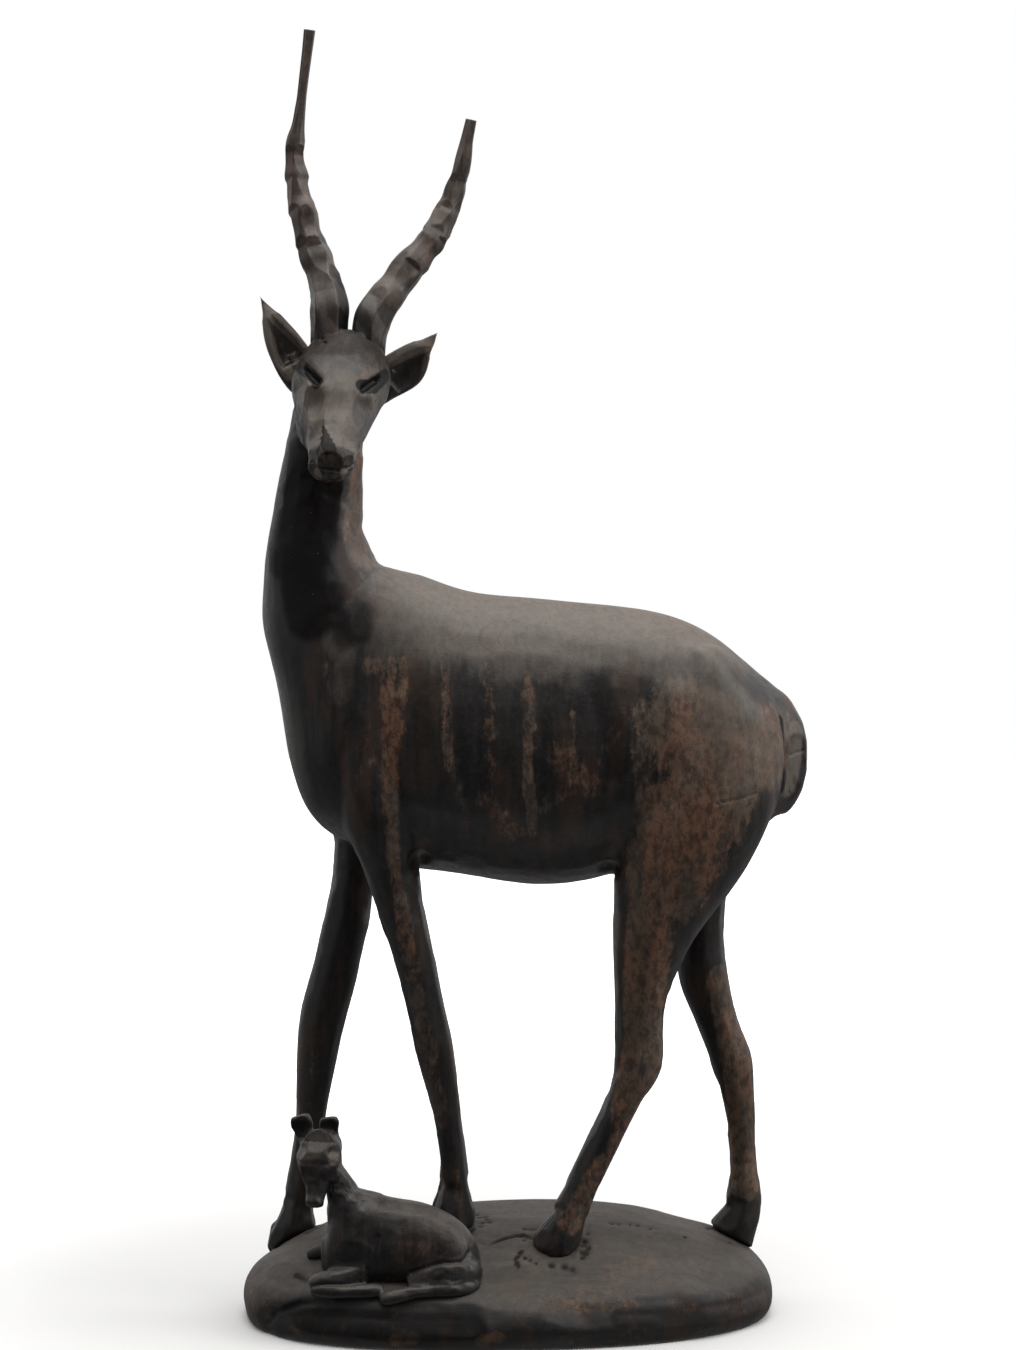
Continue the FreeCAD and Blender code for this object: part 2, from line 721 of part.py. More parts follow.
def build():
    """Every piece by its node name."""
    mound = mound_blank()
    animal = animal_blank(mound)
    fawn = fawn_blank(mound)
    horns = {"left": HORN_LEFT, "right": HORN_RIGHT}
    pieces = {}

    for side, stations in horns.items():
        pieces[f"horn_{side}"] = horn(stations, animal)
    for side, spec in EARS.items():
        pieces[f"ear_{side}"] = ear(spec, animal)

    hoof_drill = HOOF_DOWEL_RADIUS + GLUE_GAP
    fawn_drill = FAWN_DOWEL_RADIUS + GLUE_GAP
    for hoof in HOOVES:
        pieces[f"hoof_dowel_{hoof}"] = hoof_dowel(mound, hoof)
    for end in FAWN_DOWELS:
        pieces[f"fawn_dowel_{end}"] = fawn_dowel(mound, end)

    hoof_drills = [hoof_dowel(mound, hoof, hoof_drill, HOLE_SPARE_DEPTH) for hoof in HOOVES]
    fawn_drills = [fawn_dowel(mound, end, fawn_drill, HOLE_SPARE_DEPTH) for end in FAWN_DOWELS]
    horn_drills = [
        horn_rod(stations, HORN_TENON_RADIUS + GLUE_GAP, HOLE_SPARE_DEPTH)
        for stations in horns.values()
    ]
    ear_drills = [
        ear_rod(spec, EAR_TENON_RADIUS + GLUE_GAP, HOLE_SPARE_DEPTH) for spec in EARS.values()
    ]
    for drill in hoof_drills + horn_drills + ear_drills:
        animal = animal.cut(drill)
    for drill in fawn_drills:
        fawn = fawn.cut(drill)
    for drill in hoof_drills + fawn_drills:
        mound = mound.cut(drill)
    pieces["antelope"] = largest(animal)
    pieces["fawn"] = largest(fawn)
    pieces["mound"] = largest(mound)
    return pieces


def main():
    os.makedirs("parts", exist_ok=True)
    for name, shape in build().items():
        solids = shape.Solids
        print(
            f"{name}: {len(solids)} solid, valid {shape.isValid()}, "
            f"volume {shape.Volume / 1000:.1f} cm3"
        )
        solid = solids[0] if len(solids) == 1 else shape
        solid.exportStep(f"parts/{name}.step")


main()
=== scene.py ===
"""A dark stained hardwood carving: an antelope standing over its resting fawn on an oval mound.

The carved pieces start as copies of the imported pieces, roughed out again as an even mesh, and are
then worked with the same cuts a carver makes: flats, scoops, grooves and swellings.  Places,
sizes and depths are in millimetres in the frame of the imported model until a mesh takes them.
"""
import math

import bmesh
import bpy
import numpy as np
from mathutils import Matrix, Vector
from mathutils.kdtree import KDTree


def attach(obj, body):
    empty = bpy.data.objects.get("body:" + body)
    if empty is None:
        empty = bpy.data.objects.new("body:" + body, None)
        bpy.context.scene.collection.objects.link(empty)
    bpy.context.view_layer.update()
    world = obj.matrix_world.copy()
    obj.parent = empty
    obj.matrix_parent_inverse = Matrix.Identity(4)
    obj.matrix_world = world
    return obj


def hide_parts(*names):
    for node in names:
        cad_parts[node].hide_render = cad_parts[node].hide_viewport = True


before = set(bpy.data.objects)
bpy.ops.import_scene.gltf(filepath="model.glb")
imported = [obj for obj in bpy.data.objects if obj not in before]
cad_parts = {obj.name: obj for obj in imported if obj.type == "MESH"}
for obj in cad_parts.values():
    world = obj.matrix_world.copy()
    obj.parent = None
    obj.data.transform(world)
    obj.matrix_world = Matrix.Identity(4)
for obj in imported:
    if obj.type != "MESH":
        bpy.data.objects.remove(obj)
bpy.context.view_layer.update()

MM = 0.001
CHANCE = np.random.default_rng(41)

# ---- The heads and their directions --------------------------------------------------------


def antelope_face():
    """Across the antelope's face, down its nose, and out of its face."""
    pitch = math.radians(49)
    lean = math.radians(8)
    turn = math.radians(3)
    forward = Vector((math.sin(turn), -math.cos(turn), 0))
    down = Vector((-math.sin(lean), 0, -math.cos(lean)))
    sideways = Vector((math.cos(lean), 0, -math.sin(lean)))
    axis = (forward * math.cos(pitch) + down * math.sin(pitch)).normalized()
    face = axis.cross(sideways).normalized()
    return face.cross(axis), axis, face


def fawn_face():
    """Across the fawn's face, down its nose, and out of its face."""
    pitch = math.radians(60)
    yaw = math.radians(14)
    level = Vector((-math.sin(yaw), -math.cos(yaw), 0))
    across = Vector((math.cos(yaw), -math.sin(yaw), 0))
    axis = level * math.cos(pitch) - Vector((0, 0, 1)) * math.sin(pitch)
    return across, axis, axis.cross(across)


class Head:
    """A head with its own directions: across the face, down the nose and out of the face."""

    def __init__(self, root, directions):
        self.root = np.array(root)
        self.axes = np.array(directions)

    def at(self, across, along, out):
        """A point of the head, in the frame of the model."""
        return self.root + np.array((across, along, out), float) @ self.axes

    def on_half(self, places, hand):
        """The places on one hand's half of the face, in the frame of the model."""
        return np.array([self.at(hand * across, along, out) for across, along, out in places])

    def places(self, points):
        """Points of the model in the head's own directions."""
        return (points - self.root) @ self.axes.T


HEAD = Head((-91.5, 5.0, 547.5), antelope_face())
FAWN_HEAD = Head((-103.5, -42.0, 109.0), fawn_face())

# ---- Carving tools -------------------------------------------------------------------------


def ease(low, high, values):
    """From 0 at low to 1 at high, smoothly."""
    share = np.clip((values - low) / (high - low), 0, 1)
    return share * share * (3 - 2 * share)


def distance_to_path(points, path):
    """How far each point is from a row of points joined by straight runs."""
    path = np.array(path, float)
    if len(path) == 1:
        return np.linalg.norm(points - path[0], axis=1)
    nearest = np.full(len(points), np.inf)
    for start, end in zip(path[:-1], path[1:]):
        run = end - start
        share = np.clip(((points - start) @ run) / (run @ run), 0, 1)
        gap = np.linalg.norm(points - start - share[:, None] * run, axis=1)
        nearest = np.minimum(nearest, gap)
    return nearest


def stand(name, data):
    """A new object in the scene, made of the given data."""
    thing = bpy.data.objects.new(name, data)
    bpy.context.scene.collection.objects.link(thing)
    return thing


class Carving:
    """A piece being carved: the points of its mesh in millimetres, and the tools that move them."""

    FLAT_UNEVENNESS = 0.4
    LAY_STEP = 1.5

    def __init__(self, piece):
        self.piece = piece
        self.pick_up()

    def pick_up(self):
        mesh = self.piece.data
        flat = np.empty(len(mesh.vertices) * 3, np.float32)
        mesh.vertices.foreach_get("co", flat)
        self.points = flat.reshape(-1, 3).astype(float) / MM
        ends = np.empty(len(mesh.edges) * 2, np.int32)
        mesh.edges.foreach_get("vertices", ends)
        self.ends = ends.reshape(-1, 2)
        self.count = len(self.points)
        self.neighbours = np.bincount(ends, minlength=self.count).clip(1)

    def now(self):
        """The x, y and z of every point as they are now, to stay so through later cuts."""
        return self.points.T.copy()

    def put_back(self):
        mesh = self.piece.data
        mesh.vertices.foreach_set("co", (self.points * MM).astype(np.float32).ravel())
        mesh.update()

    def normals(self):
        self.put_back()
        flat = np.empty(self.count * 3, np.float32)
        self.piece.data.vertices.foreach_get("normal", flat)
        return flat.reshape(-1, 3).astype(float)

    def mean(self, values):
        """The mean of the values at each point's neighbours."""
        one, other = self.ends.T
        total = np.bincount(one, weights=values[other], minlength=self.count)
        total += np.bincount(other, weights=values[one], minlength=self.count)
        return total / self.neighbours

    def means(self, rows):
        return np.stack([self.mean(rows[:, k]) for k in range(3)], axis=1)

    def soften(self, rounds, mask=1.0, share=0.5):
        """Sands the surface where the mask is set."""
        for _ in range(rounds):
            pull = self.means(self.points) - self.points
            self.points += pull * np.reshape(share * mask, (-1, 1))

    def spread(self, values, rounds):
        """The same values, blurred over the surface."""
        for _ in range(rounds):
            values = 0.4 * values + 0.6 * self.mean(values)
        return values

    def ease_corners(self, rounds, mask, start=0.04):
        """Fills only the inside corners where limbs meet, as a rasp rounds them."""
        for _ in range(rounds):
            normals = self.normals()
            pull = self.means(self.points) - self.points
            hollow = (pull * normals).sum(1)
            share = np.clip((hollow - start) / 0.1, 0, 1) * mask
            share = np.clip(self.spread(share, 3) * 1.6, 0, 1)
            self.points += pull * (0.6 * share)[:, None]

    def refine(self, mask):
        """Gives finer mesh where the mask is set, so that small cuts hold their edges."""
        self.put_back()
        shape = bmesh.new()
        shape.from_mesh(self.piece.data)
        shape.verts.ensure_lookup_table()
        chosen = [e for e in shape.edges if mask[e.verts[0].index] and mask[e.verts[1].index]]
        bmesh.ops.subdivide_edges(shape, edges=chosen, cuts=1, use_grid_fill=True)
        shape.to_mesh(self.piece.data)
        shape.free()
        self.pick_up()

    def tree(self):
        """The points as they are now, in metres, for finding near ones."""
        tree = KDTree(self.count)
        for i, point in enumerate(self.points * MM):
            tree.insert(point, i)
        tree.balance()
        return tree

    def spots(self, mask, spacing, tree):
        """Scattered places for the knife, no two nearer than the spacing."""
        free = np.array(mask, bool)
        chosen = []
        for i in CHANCE.permutation(np.flatnonzero(free)):
            if free[i]:
                chosen.append(int(i))
                for _, near, _ in tree.find_range(self.points[i] * MM, spacing * MM):
                    free[near] = False
        return chosen

    def flats(self, mask, spacing, reach, depth):
        """Flat knife cuts all over the mask, each a little under the skin."""
        tree = self.tree()
        normals = self.means(self.means(self.normals()))
        normals /= np.linalg.norm(normals, axis=1)[:, None].clip(1e-9)
        for i in self.spots(mask, spacing, tree):
            centre = self.points[i].copy()
            aim = normals[i]
            found = tree.find_range(centre * MM, reach * MM)
            near = np.array([f[1] for f in found])
            gap = np.array([f[2] for f in found])
            sink = depth * (1 + self.FLAT_UNEVENNESS * CHANCE.uniform(-1, 1))
            height = (self.points[near] - centre) @ aim + sink
            facing = normals[near] @ aim > 0.3
            fade = np.clip((1 - gap / (reach * MM)) * 3, 0, 1)
            cut = np.clip(height, 0, 3 * sink) * facing * fade
            self.points[near] -= aim * cut[:, None]

    def shave(self, centre, aim, reach, firm=1.0, edge=0.8):
        """One flat cut through a point, square to aim, fading out between edge and reach."""
        aim = np.array(aim, float)
        aim /= np.linalg.norm(aim)
        off = self.points - centre
        height = off @ aim
        sideways = np.linalg.norm(off - height[:, None] * aim, axis=1)
        fade = firm * ease(reach, reach * edge, sideways) * (np.abs(height) < reach)
        self.points -= aim * (np.clip(height, 0, None) * fade)[:, None]

    def press(self, cut):
        """Moves the surface in by a depth at every point."""
        self.points -= self.normals() * np.reshape(cut, (-1, 1))

    def scoop(self, centre, size, depth, hard=2, axes=np.eye(3)):
        """A hollow, or with a negative depth a swelling, of three half sizes about a point.

        Its border is soft when hard is 2 and firm when it is 1.
        """
        off = (self.points - centre) @ axes.T / np.array(size, float)
        self.press(depth * np.clip(1 - (off * off).sum(1), 0, 1) ** hard)

    def lay_on(self, path):
        """The path laid on the surface: many short runs between the nearest points of the skin."""
        path = np.array(path, float)
        dense = []
        for start, end in zip(path[:-1], path[1:]):
            steps = max(2, int(np.linalg.norm(end - start) / self.LAY_STEP))
            dense += [start + (end - start) * k / steps for k in range(steps)]
        dense.append(path[-1])
        laid = []
        for point in dense:
            gap = np.linalg.norm(self.points - point, axis=1)
            laid.append(self.points[np.argsort(gap)[:6]].mean(0))
        laid = np.array(laid)
        middle = (laid[:-2] + laid[2:] + 2 * laid[1:-1]) / 4
        return np.concatenate([laid[:1], middle, laid[-1:]])

    def groove(self, path, width, depth, sharp=1.0):
        """A cut along a path, V-shaped when sharp is 1 and narrower at the bottom above that."""
        gap = distance_to_path(self.points, self.lay_on(path))
        self.press(depth * np.clip(1 - gap / (width / 2), 0, 1) ** sharp)


class Coat:
    """How bare each point of a piece is, how dark from soot and painted shade, and how light from
    dust and painted sheen.
    """

    def __init__(self, carving, bare=0.0, soot=0.0, haze=0.0):
        self.carving = carving
        whole = np.ones(carving.count)
        self.layers = {"bare": bare * whole, "soot": soot * whole, "haze": haze * whole}

    def lay(self, where, **strengths):
        """Raises the named layers to at least their strength times where."""
        for name, strength in strengths.items():
            self.layers[name] = np.maximum(self.layers[name], strength * where)

    def lift(self, name, share):
        """Takes a share of a layer away."""
        self.layers[name] = self.layers[name] * (1 - share)

    def brush(self, name, strokes, fade=0.3):
        """Lays soft strokes, each a path, a half width and a strength."""
        for path, wide, strength in strokes:
            gap = distance_to_path(self.carving.points, path)
            self.lay(ease(wide, wide * fade, gap), **{name: strength})

    def keep(self):
        """Stores the layers on the piece's points, for its finish to read."""
        self.carving.put_back()
        for name, values in self.layers.items():
            layer = self.carving.piece.data.attributes.new(name, "FLOAT", "POINT")
            layer.data.foreach_set("value", np.clip(values, 0, 1).astype(np.float32))


def rough_out(node, name, grain):
    """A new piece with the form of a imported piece, in even mesh of the given size."""
    blank = bmesh.new()
    blank.from_mesh(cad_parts[node].data)
    bmesh.ops.remove_doubles(blank, verts=blank.verts, dist=0.02 * MM)
    bmesh.ops.recalc_face_normals(blank, faces=blank.faces)
    mesh = bpy.data.meshes.new(name)
    blank.to_mesh(mesh)
    blank.free()
    piece = stand(name, mesh)
    even = piece.modifiers.new("Even", "REMESH")
    even.mode = "VOXEL"
    even.voxel_size = grain * MM
    evaluated = piece.evaluated_get(bpy.context.evaluated_depsgraph_get())
    result = bpy.data.meshes.new_from_object(evaluated)
    piece.modifiers.clear()
    result.name = name
    piece.data = result
    return piece


def finish_piece(piece, node, finish):
    """Shades a piece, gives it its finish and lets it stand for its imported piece."""
    piece.data.materials.clear()
    piece.data.materials.append(finish)
    for face in piece.data.polygons:
        face.use_smooth = True
    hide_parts(node)
    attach(piece, "root")


# ---- Finishes ------------------------------------------------------------------------------


class Nodes:
    """Short ways to add the steps of a node tree."""

    def __init__(self, owner):
        owner.use_nodes = True
        self.tree = owner.node_tree
        self.tree.nodes.clear()

    def join(self, value, socket):
        if isinstance(value, bpy.types.NodeSocket):
            self.tree.links.new(value, socket)
        elif socket.type == "RGBA":
            socket.default_value = (*value, 1.0)
        else:
            socket.default_value = value

    def add(self, kind, inputs=(), **settings):
        """A node of a kind with its settings, and its inputs joined or set."""
        node = self.tree.nodes.new("ShaderNode" + kind)
        for name, value in settings.items():
            setattr(node, name, value)
        for name, value in dict(inputs).items():
            self.join(value, node.inputs[name])
        return node

    def between(self, value, low, high, to_low=0.0, to_high=1.0):
        """Runs smoothly from to_low where the value is low, to to_high where it is high."""
        ends = {"From Min": low, "From Max": high, "To Min": to_low, "To Max": to_high}
        node = self.add("MapRange", {"Value": value, **ends}, interpolation_type="SMOOTHSTEP")
        return node.outputs["Result"]

    def reckon(self, operation, *values):
        return self.add("Math", enumerate(values), operation=operation).outputs[0]

    def plus(self, one, other):
        return self.reckon("ADD", one, other)

    def times(self, one, other):
        return self.reckon("MULTIPLY", one, other)


class Finish(Nodes):
    """A material being mixed."""

    def __init__(self, name):
        self.material = bpy.data.materials.new(name)
        super().__init__(self.material)
        self.shader = self.add("BsdfPrincipled")
        self.add("OutputMaterial", {"Surface": self.shader.outputs[0]})
        self.place = self.add("TexCoord").outputs["Object"]

    def give(self, name, value):
        self.join(value, self.shader.inputs[name])

    def stretched(self, stretch):
        return self.add("Mapping", {"Scale": stretch, "Vector": self.place}).outputs[0]

    def cloud(self, scale, stretch=(1, 1, 1), detail=4.0, roughness=0.55):
        """Soft random variation over the object."""
        inputs = {"Vector": self.stretched(stretch), "Scale": scale, "Detail": detail}
        return self.add("TexNoise", {**inputs, "Roughness": roughness}).outputs["Fac"]

    def cells(self, scale, stretch=(1, 1, 1)):
        """Distance to scattered points, for pores and flecks."""
        inputs = {"Vector": self.stretched(stretch), "Scale": scale}
        return self.add("TexVoronoi", inputs).outputs["Distance"]

    def stored(self, name):
        return self.add("Attribute", attribute_name=name).outputs["Fac"]

    def blend(self, share, one, other):
        """One colour where the share is 0, and the other where it is 1."""
        return self.add("Mix", {0: share, 6: one, 7: other}, data_type="RGBA").outputs[2]

    def relief(self, height, depth, strength, *under):
        """A bump of a depth in millimetres, laid over the one under it if there is one."""
        inputs = {"Strength": strength, "Distance": depth * MM, "Height": height}
        inputs.update({"Normal": normal for normal in under})
        return self.add("Bump", inputs).outputs[0]


def shade(colour, *shares):
    """A colour times one share, or times a share for each of its parts."""
    return tuple(c * share for c, share in zip(colour, shares * (3 // len(shares))))


def stained_wood(name, grain=(1, 1, 0.09), bare=(0.262, 0.182, 0.128),
                 haze=(0.182, 0.150, 0.123), sheen=0.40):
    """Dark stain over brown hardwood, flaked off in places and dulled by old wax and dust,
    with painted sheen and painted shade laid over it.

    It reads three values stored on a piece: bare, haze and soot.
    """
    dark = (0.0125, 0.0112, 0.0110)
    mix = Finish(name)
    streaks = mix.cloud(150, grain, detail=5, roughness=0.6)
    fibres = mix.cloud(1500, (grain[0], grain[1], grain[2] * 0.4), detail=3, roughness=0.6)
    blotches = mix.cloud(38, (1, 1, 0.6), detail=6, roughness=0.62)
    smears = mix.cloud(60, (1, 1, 0.25), roughness=0.5)
    mottle = mix.cloud(320, roughness=0.6)
    flakes = mix.cloud(260, (1, 1, 0.55), detail=9, roughness=0.74)
    specks = mix.cloud(210, (1, 1, 0.7), detail=7, roughness=0.7)
    uneven = mix.plus(mix.times(streaks, 0.8), mix.times(blotches, 0.7))
    uneven = mix.plus(uneven, -0.75)
    ragged = mix.reckon("MULTIPLY_ADD", flakes, 1.5, mix.plus(uneven, -0.75))

    stain = mix.blend(mix.between(streaks, 0.35, 0.68), dark, shade(dark, 1.9))
    stain = mix.blend(mix.between(mottle, 0.5, 0.75, 0, 0.5), stain, shade(dark, 2.6))
    brown = shade(bare, 0.26, 0.20, 0.18)
    stain = mix.blend(mix.between(smears, 0.50, 0.68, 0, 0.6), stain, brown)

    wood = mix.blend(mix.between(fibres, 0.3, 0.72), shade(bare, 0.5), bare)
    wood = mix.blend(mix.between(blotches, 0.44, 0.62), shade(bare, 0.80, 0.56, 0.46), wood)
    wood = mix.blend(mix.between(smears, 0.36, 0.62), shade(bare, 0.40), wood)
    wood = mix.blend(mix.between(flakes, 0.52, 0.40, 0, 0.7), wood, shade(bare, 0.22))
    worn = mix.between(mix.plus(mix.stored("bare"), ragged), 0.30, 0.78)
    worn = mix.times(worn, mix.between(specks, 0.40, 0.56, 0.38, 1.0))
    colour = mix.blend(worn, stain, wood)

    # dust and painted sheen: the stored share, made uneven, turns the colour towards a light taupe
    dust_and_painted_sheen_share = mix.plus(mix.stored("haze"), mix.times(uneven, 0.7))
    dust_and_painted_sheen_share = mix.between(dust_and_painted_sheen_share, 0.12, 1.15, 0, 0.88)
    dust_and_painted_sheen_share = mix.times(dust_and_painted_sheen_share, mix.between(fibres, 0.2, 0.7, 0.74, 1.0))
    dust_and_painted_sheen_share = mix.times(dust_and_painted_sheen_share, mix.between(flakes, 0.36, 0.56, 0.70, 1.0))
    colour = mix.blend(dust_and_painted_sheen_share, colour, haze)
    rings = mix.reckon("PINGPONG", mix.times(mix.cloud(9, (1, 1, 1.6), detail=1), 30.0), 0.5)
    rings = mix.times(mix.between(rings, 0.07, 0.0), mix.between(smears, 0.45, 0.6))
    colour = mix.blend(mix.times(rings, 0.34), colour, shade(dark, 1.5))

    # soot and painted shade: the stored share, made uneven, turns the colour almost black
    soot = mix.plus(mix.stored("soot"), mix.times(uneven, 0.5))
    soot = mix.between(soot, 0.25, 1.0, 0, 0.92)
    colour = mix.blend(soot, colour, shade(dark, 0.5))
    flecks = mix.between(mix.cells(210), 0.05, 0.028)
    flecks = mix.times(flecks, mix.between(mix.cloud(24), 0.55, 0.62))
    mix.give("Base Color", mix.blend(flecks, colour, (0.30, 0.27, 0.24)))

    rough = mix.between(mottle, 0.3, 0.7, sheen - 0.05, sheen + 0.07)
    rough = mix.plus(rough, mix.times(dust_and_painted_sheen_share, 0.15))
    mix.give("Roughness", mix.plus(rough, mix.times(worn, 0.13)))
    mix.give("Specular IOR Level", mix.between(soot, 0.1, 0.8, 0.48, 0.16))

    pores = mix.between(mix.cells(900, (1, 1, 0.14)), 0.12, 0.30)
    scratches = mix.between(mix.cloud(700, (0.12, 1, 1), detail=2), 0.62, 0.70)
    skin = mix.relief(mix.cloud(90, (1, 1, 0.5)), 0.5, 0.5)
    skin = mix.relief(streaks, 0.22, 0.5, skin)
    skin = mix.relief(mix.times(worn, -1.0), 0.10, 0.6, skin)
    skin = mix.relief(mix.times(flakes, worn), 0.16, 0.6, skin)
    skin = mix.relief(fibres, 0.07, 0.6, skin)
    skin = mix.relief(pores, 0.10, 0.35, skin)
    mix.give("Normal", mix.relief(mix.times(scratches, -1.0), 0.05, 0.4, skin))
    return mix.material


def dowel_wood(name):
    """Plain pale hardwood dowel, hidden in its holes."""
    mix = Finish(name)
    fibres = mix.cloud(900, (1, 1, 0.05))
    colour = mix.blend(mix.between(fibres, 0.35, 0.7), (0.30, 0.19, 0.10), (0.46, 0.32, 0.19))
    mix.give("Base Color", colour)
    mix.give("Roughness", mix.between(fibres, 0.3, 0.7, 0.55, 0.7))
    mix.give("Normal", mix.relief(fibres, 0.08, 0.6))
    return mix.material


# ---- The antelope --------------------------------------------------------------------------

TRUNK_MIDDLE = 5.0
NECK_BASE = 470
RUMP_CRACK = [(115, -48.5, 302), (121, -47, 303.5), (127.5, -45.5, 303.8), (137, -41, 307)]
HOOF_MIDDLES = [(-31.5, -8.0, 60), (-127.0, 27.0, 42), (27, -25.0, 52), (134.0, 25.0, 42)]

# Swellings (with a negative depth) and hollows that bring the roughed form to its full curves:
# a place, three half sizes and a depth.
BODY_CURVES = [
    ((158, 5, 352), (34, 60, 34), -1.4), ((164, 5, 369), (22, 50, 22), -2.0),
    ((138, 5, 384), (40, 60, 34), 0.6), ((-78, 12, 484), (20, 40, 66), -0.9),
    ((-64, 8, 440), (22, 40, 30), 0.6), ((-113, 8, 516), (22, 40, 36), -1.2),
    ((78, -6, 250), (30, 50, 46), 0.8), ((134, 20, 170), (22, 30, 70), -1.4),
    ((-76, 30, 262), (18, 26, 34), -1.5), ((-120, 30, 110), (30, 26, 66), -0.9),
    ((-48, -36, 262), (10, 12, 8), 1.6), ((60, -26, 262), (10, 12, 8), 1.6),
]
# These fill the dip between the thighs and the root of the tail.
RUMP_CURVES = [
    ((138, -28, 354), (26, 22, 24), -1.9), ((138, 38, 354), (26, 22, 24), -1.9),
    ((162, 5, 368), (18, 40, 18), -0.8),
]


def carve_antelope():
    piece = rough_out("antelope", "antelope_carving", 2.0)
    carving = Carving(piece)
    # round the inside corners where the limbs and the neck grow out of the trunk
    x, y, z = carving.now()
    tail = (x > 148) & (z > 285) & (z < 375)
    open_joints = ((z < NECK_BASE) & ~tail & (z > 70)).astype(float)
    carving.ease_corners(26, carving.spread(open_joints, 3))
    carving.soften(3)

    # finer mesh for the head, the tail and the hooves, and again for the face
    x, y, z = carving.now()
    near_crack = distance_to_path(carving.points, RUMP_CRACK) < 6
    carving.refine((z > NECK_BASE) | ((x > 143) & (z > 280) & (z < 372)) | (z < 72) | near_crack)
    across, along, out = HEAD.places(carving.points).T
    x, y, z = carving.now()
    carving.refine((along > 12) & (z > NECK_BASE) & (out > -18) & (y < -2))
    x, y, z = carving.now()
    carving.soften(2, ((z > NECK_BASE) | (z < 72) | (x > 143)).astype(float))

    # give back what the smoothing took
    z = carving.points[:, 2]
    carving.press(-0.55 - 0.45 * ease(290, 250, z))
    for place, size, depth in BODY_CURVES:
        carving.scoop(place, size, depth)

    # broad, faint tool flats on the body, longer and clearer ones on the legs
    x, y, z = carving.now()
    carving.flats((z > 275) & (z < NECK_BASE) & (x < 146), 16, 18, 0.16)
    carving.flats((z < 285) & (z > 60), 9, 18, 0.22)
    carving.flats((z >= 430) & (z < 530) & (y > -25), 12, 18, 0.25)
    carving.soften(1, share=0.35)

    carve_tail(carving)
    carve_hooves(carving)
    carve_face(carving)
    for place, size, depth in RUMP_CURVES:
        carving.scoop(place, size, depth)
    carve_body_marks(carving)
    stain_and_shade_antelope(carving)
    return piece


def far_side(path):
    return [(x, 2 * TRUNK_MIDDLE - y, z) for x, y, z in path]


def carve_tail(carving):
    """The tail lies on the rump as a flap: a groove on its edge, which takes painted shade, and a
    long bare facet, which takes a painted highlight.
    """
    near = [(149, -12, 347), (152, -17, 335), (152.5, -19, 320), (151.5, -17, 305), (153, -9, 295)]
    for edge in (near, far_side(near)):
        carving.groove(edge, 8, 2.4, 1.3)
    x, y, z = carving.now()
    carving.flats((x > 158) & (z > 288) & (z < 350), 12, 16, 0.4)
    for height in (328, 318, 308):
        carving.shave((163.2, -7.6, height), (0.62, -0.785, 0.0), 10.5, 1.0, 0.6)
    carving.groove([(157, -12, 324), (162, -9, 325.5), (169, -5, 327)], 1.6, 0.9)
    carving.groove([(160, -10, 304), (163, -8, 300)], 1.4, 0.6)


def carve_hooves(carving):
    """Knife flats on each flared hoof, and the cleft down its front."""
    x, y, z = carving.now()
    for hoof_x, hoof_y, hoof_z in HOOF_MIDDLES:
        gap = np.hypot(x - hoof_x, y - hoof_y)
        carving.press(-1.1 * ease(22, 12, gap) * ease(hoof_z + 14, hoof_z + 2, z))
        carving.flats((gap < 26) & (z < hoof_z + 12), 9, 12, 0.75)
        cleft = [
            (hoof_x - 14, hoof_y - 1, hoof_z - 14),
            (hoof_x - 13, hoof_y - 1, hoof_z + 2),
            (hoof_x - 9, hoof_y, hoof_z + 10),
        ]
        near = distance_to_path(carving.points, cleft)
        facing = carving.normals()[:, 0] < 0.1
        open_share = np.clip(1 - np.abs(y - hoof_y + 1) / 2.0, 0, 1)
        carving.press(1.1 * open_share * ease(9, 6, near) * facing)


# On one half of the face: across it, down the nose and out of it.
EYE_SLIT = [(13.0, 33.6, 15.8), (16.2, 29.4, 15.2), (19.8, 24.0, 13.6), (23.4, 16.5, 10)]
EYELID = [(9.0, 29.5, 18), (15.2, 23.2, 17.5), (21.6, 14.5, 12)]
CHEEK_LINE = [(20.0, 35.0, 8), (17.0, 48.0, 6), (13.6, 60.0, 5)]
MOUTH = [(12.0, 73.0, -1.8), (9.8, 79.0, 0.4), (5.6, 82.8, 2.0), (0.0, 84.4, 2.8)]
NOSE_PATCH = [(-6.8, 62.5, 12.4), (-4.2, 69.0, 12.0), (-1.6, 75.5, 11.0)]
NOSE_SIDE_SHADE = [(-6, 8, 21), (-5, 34, 18), (-4, 58, 14)]


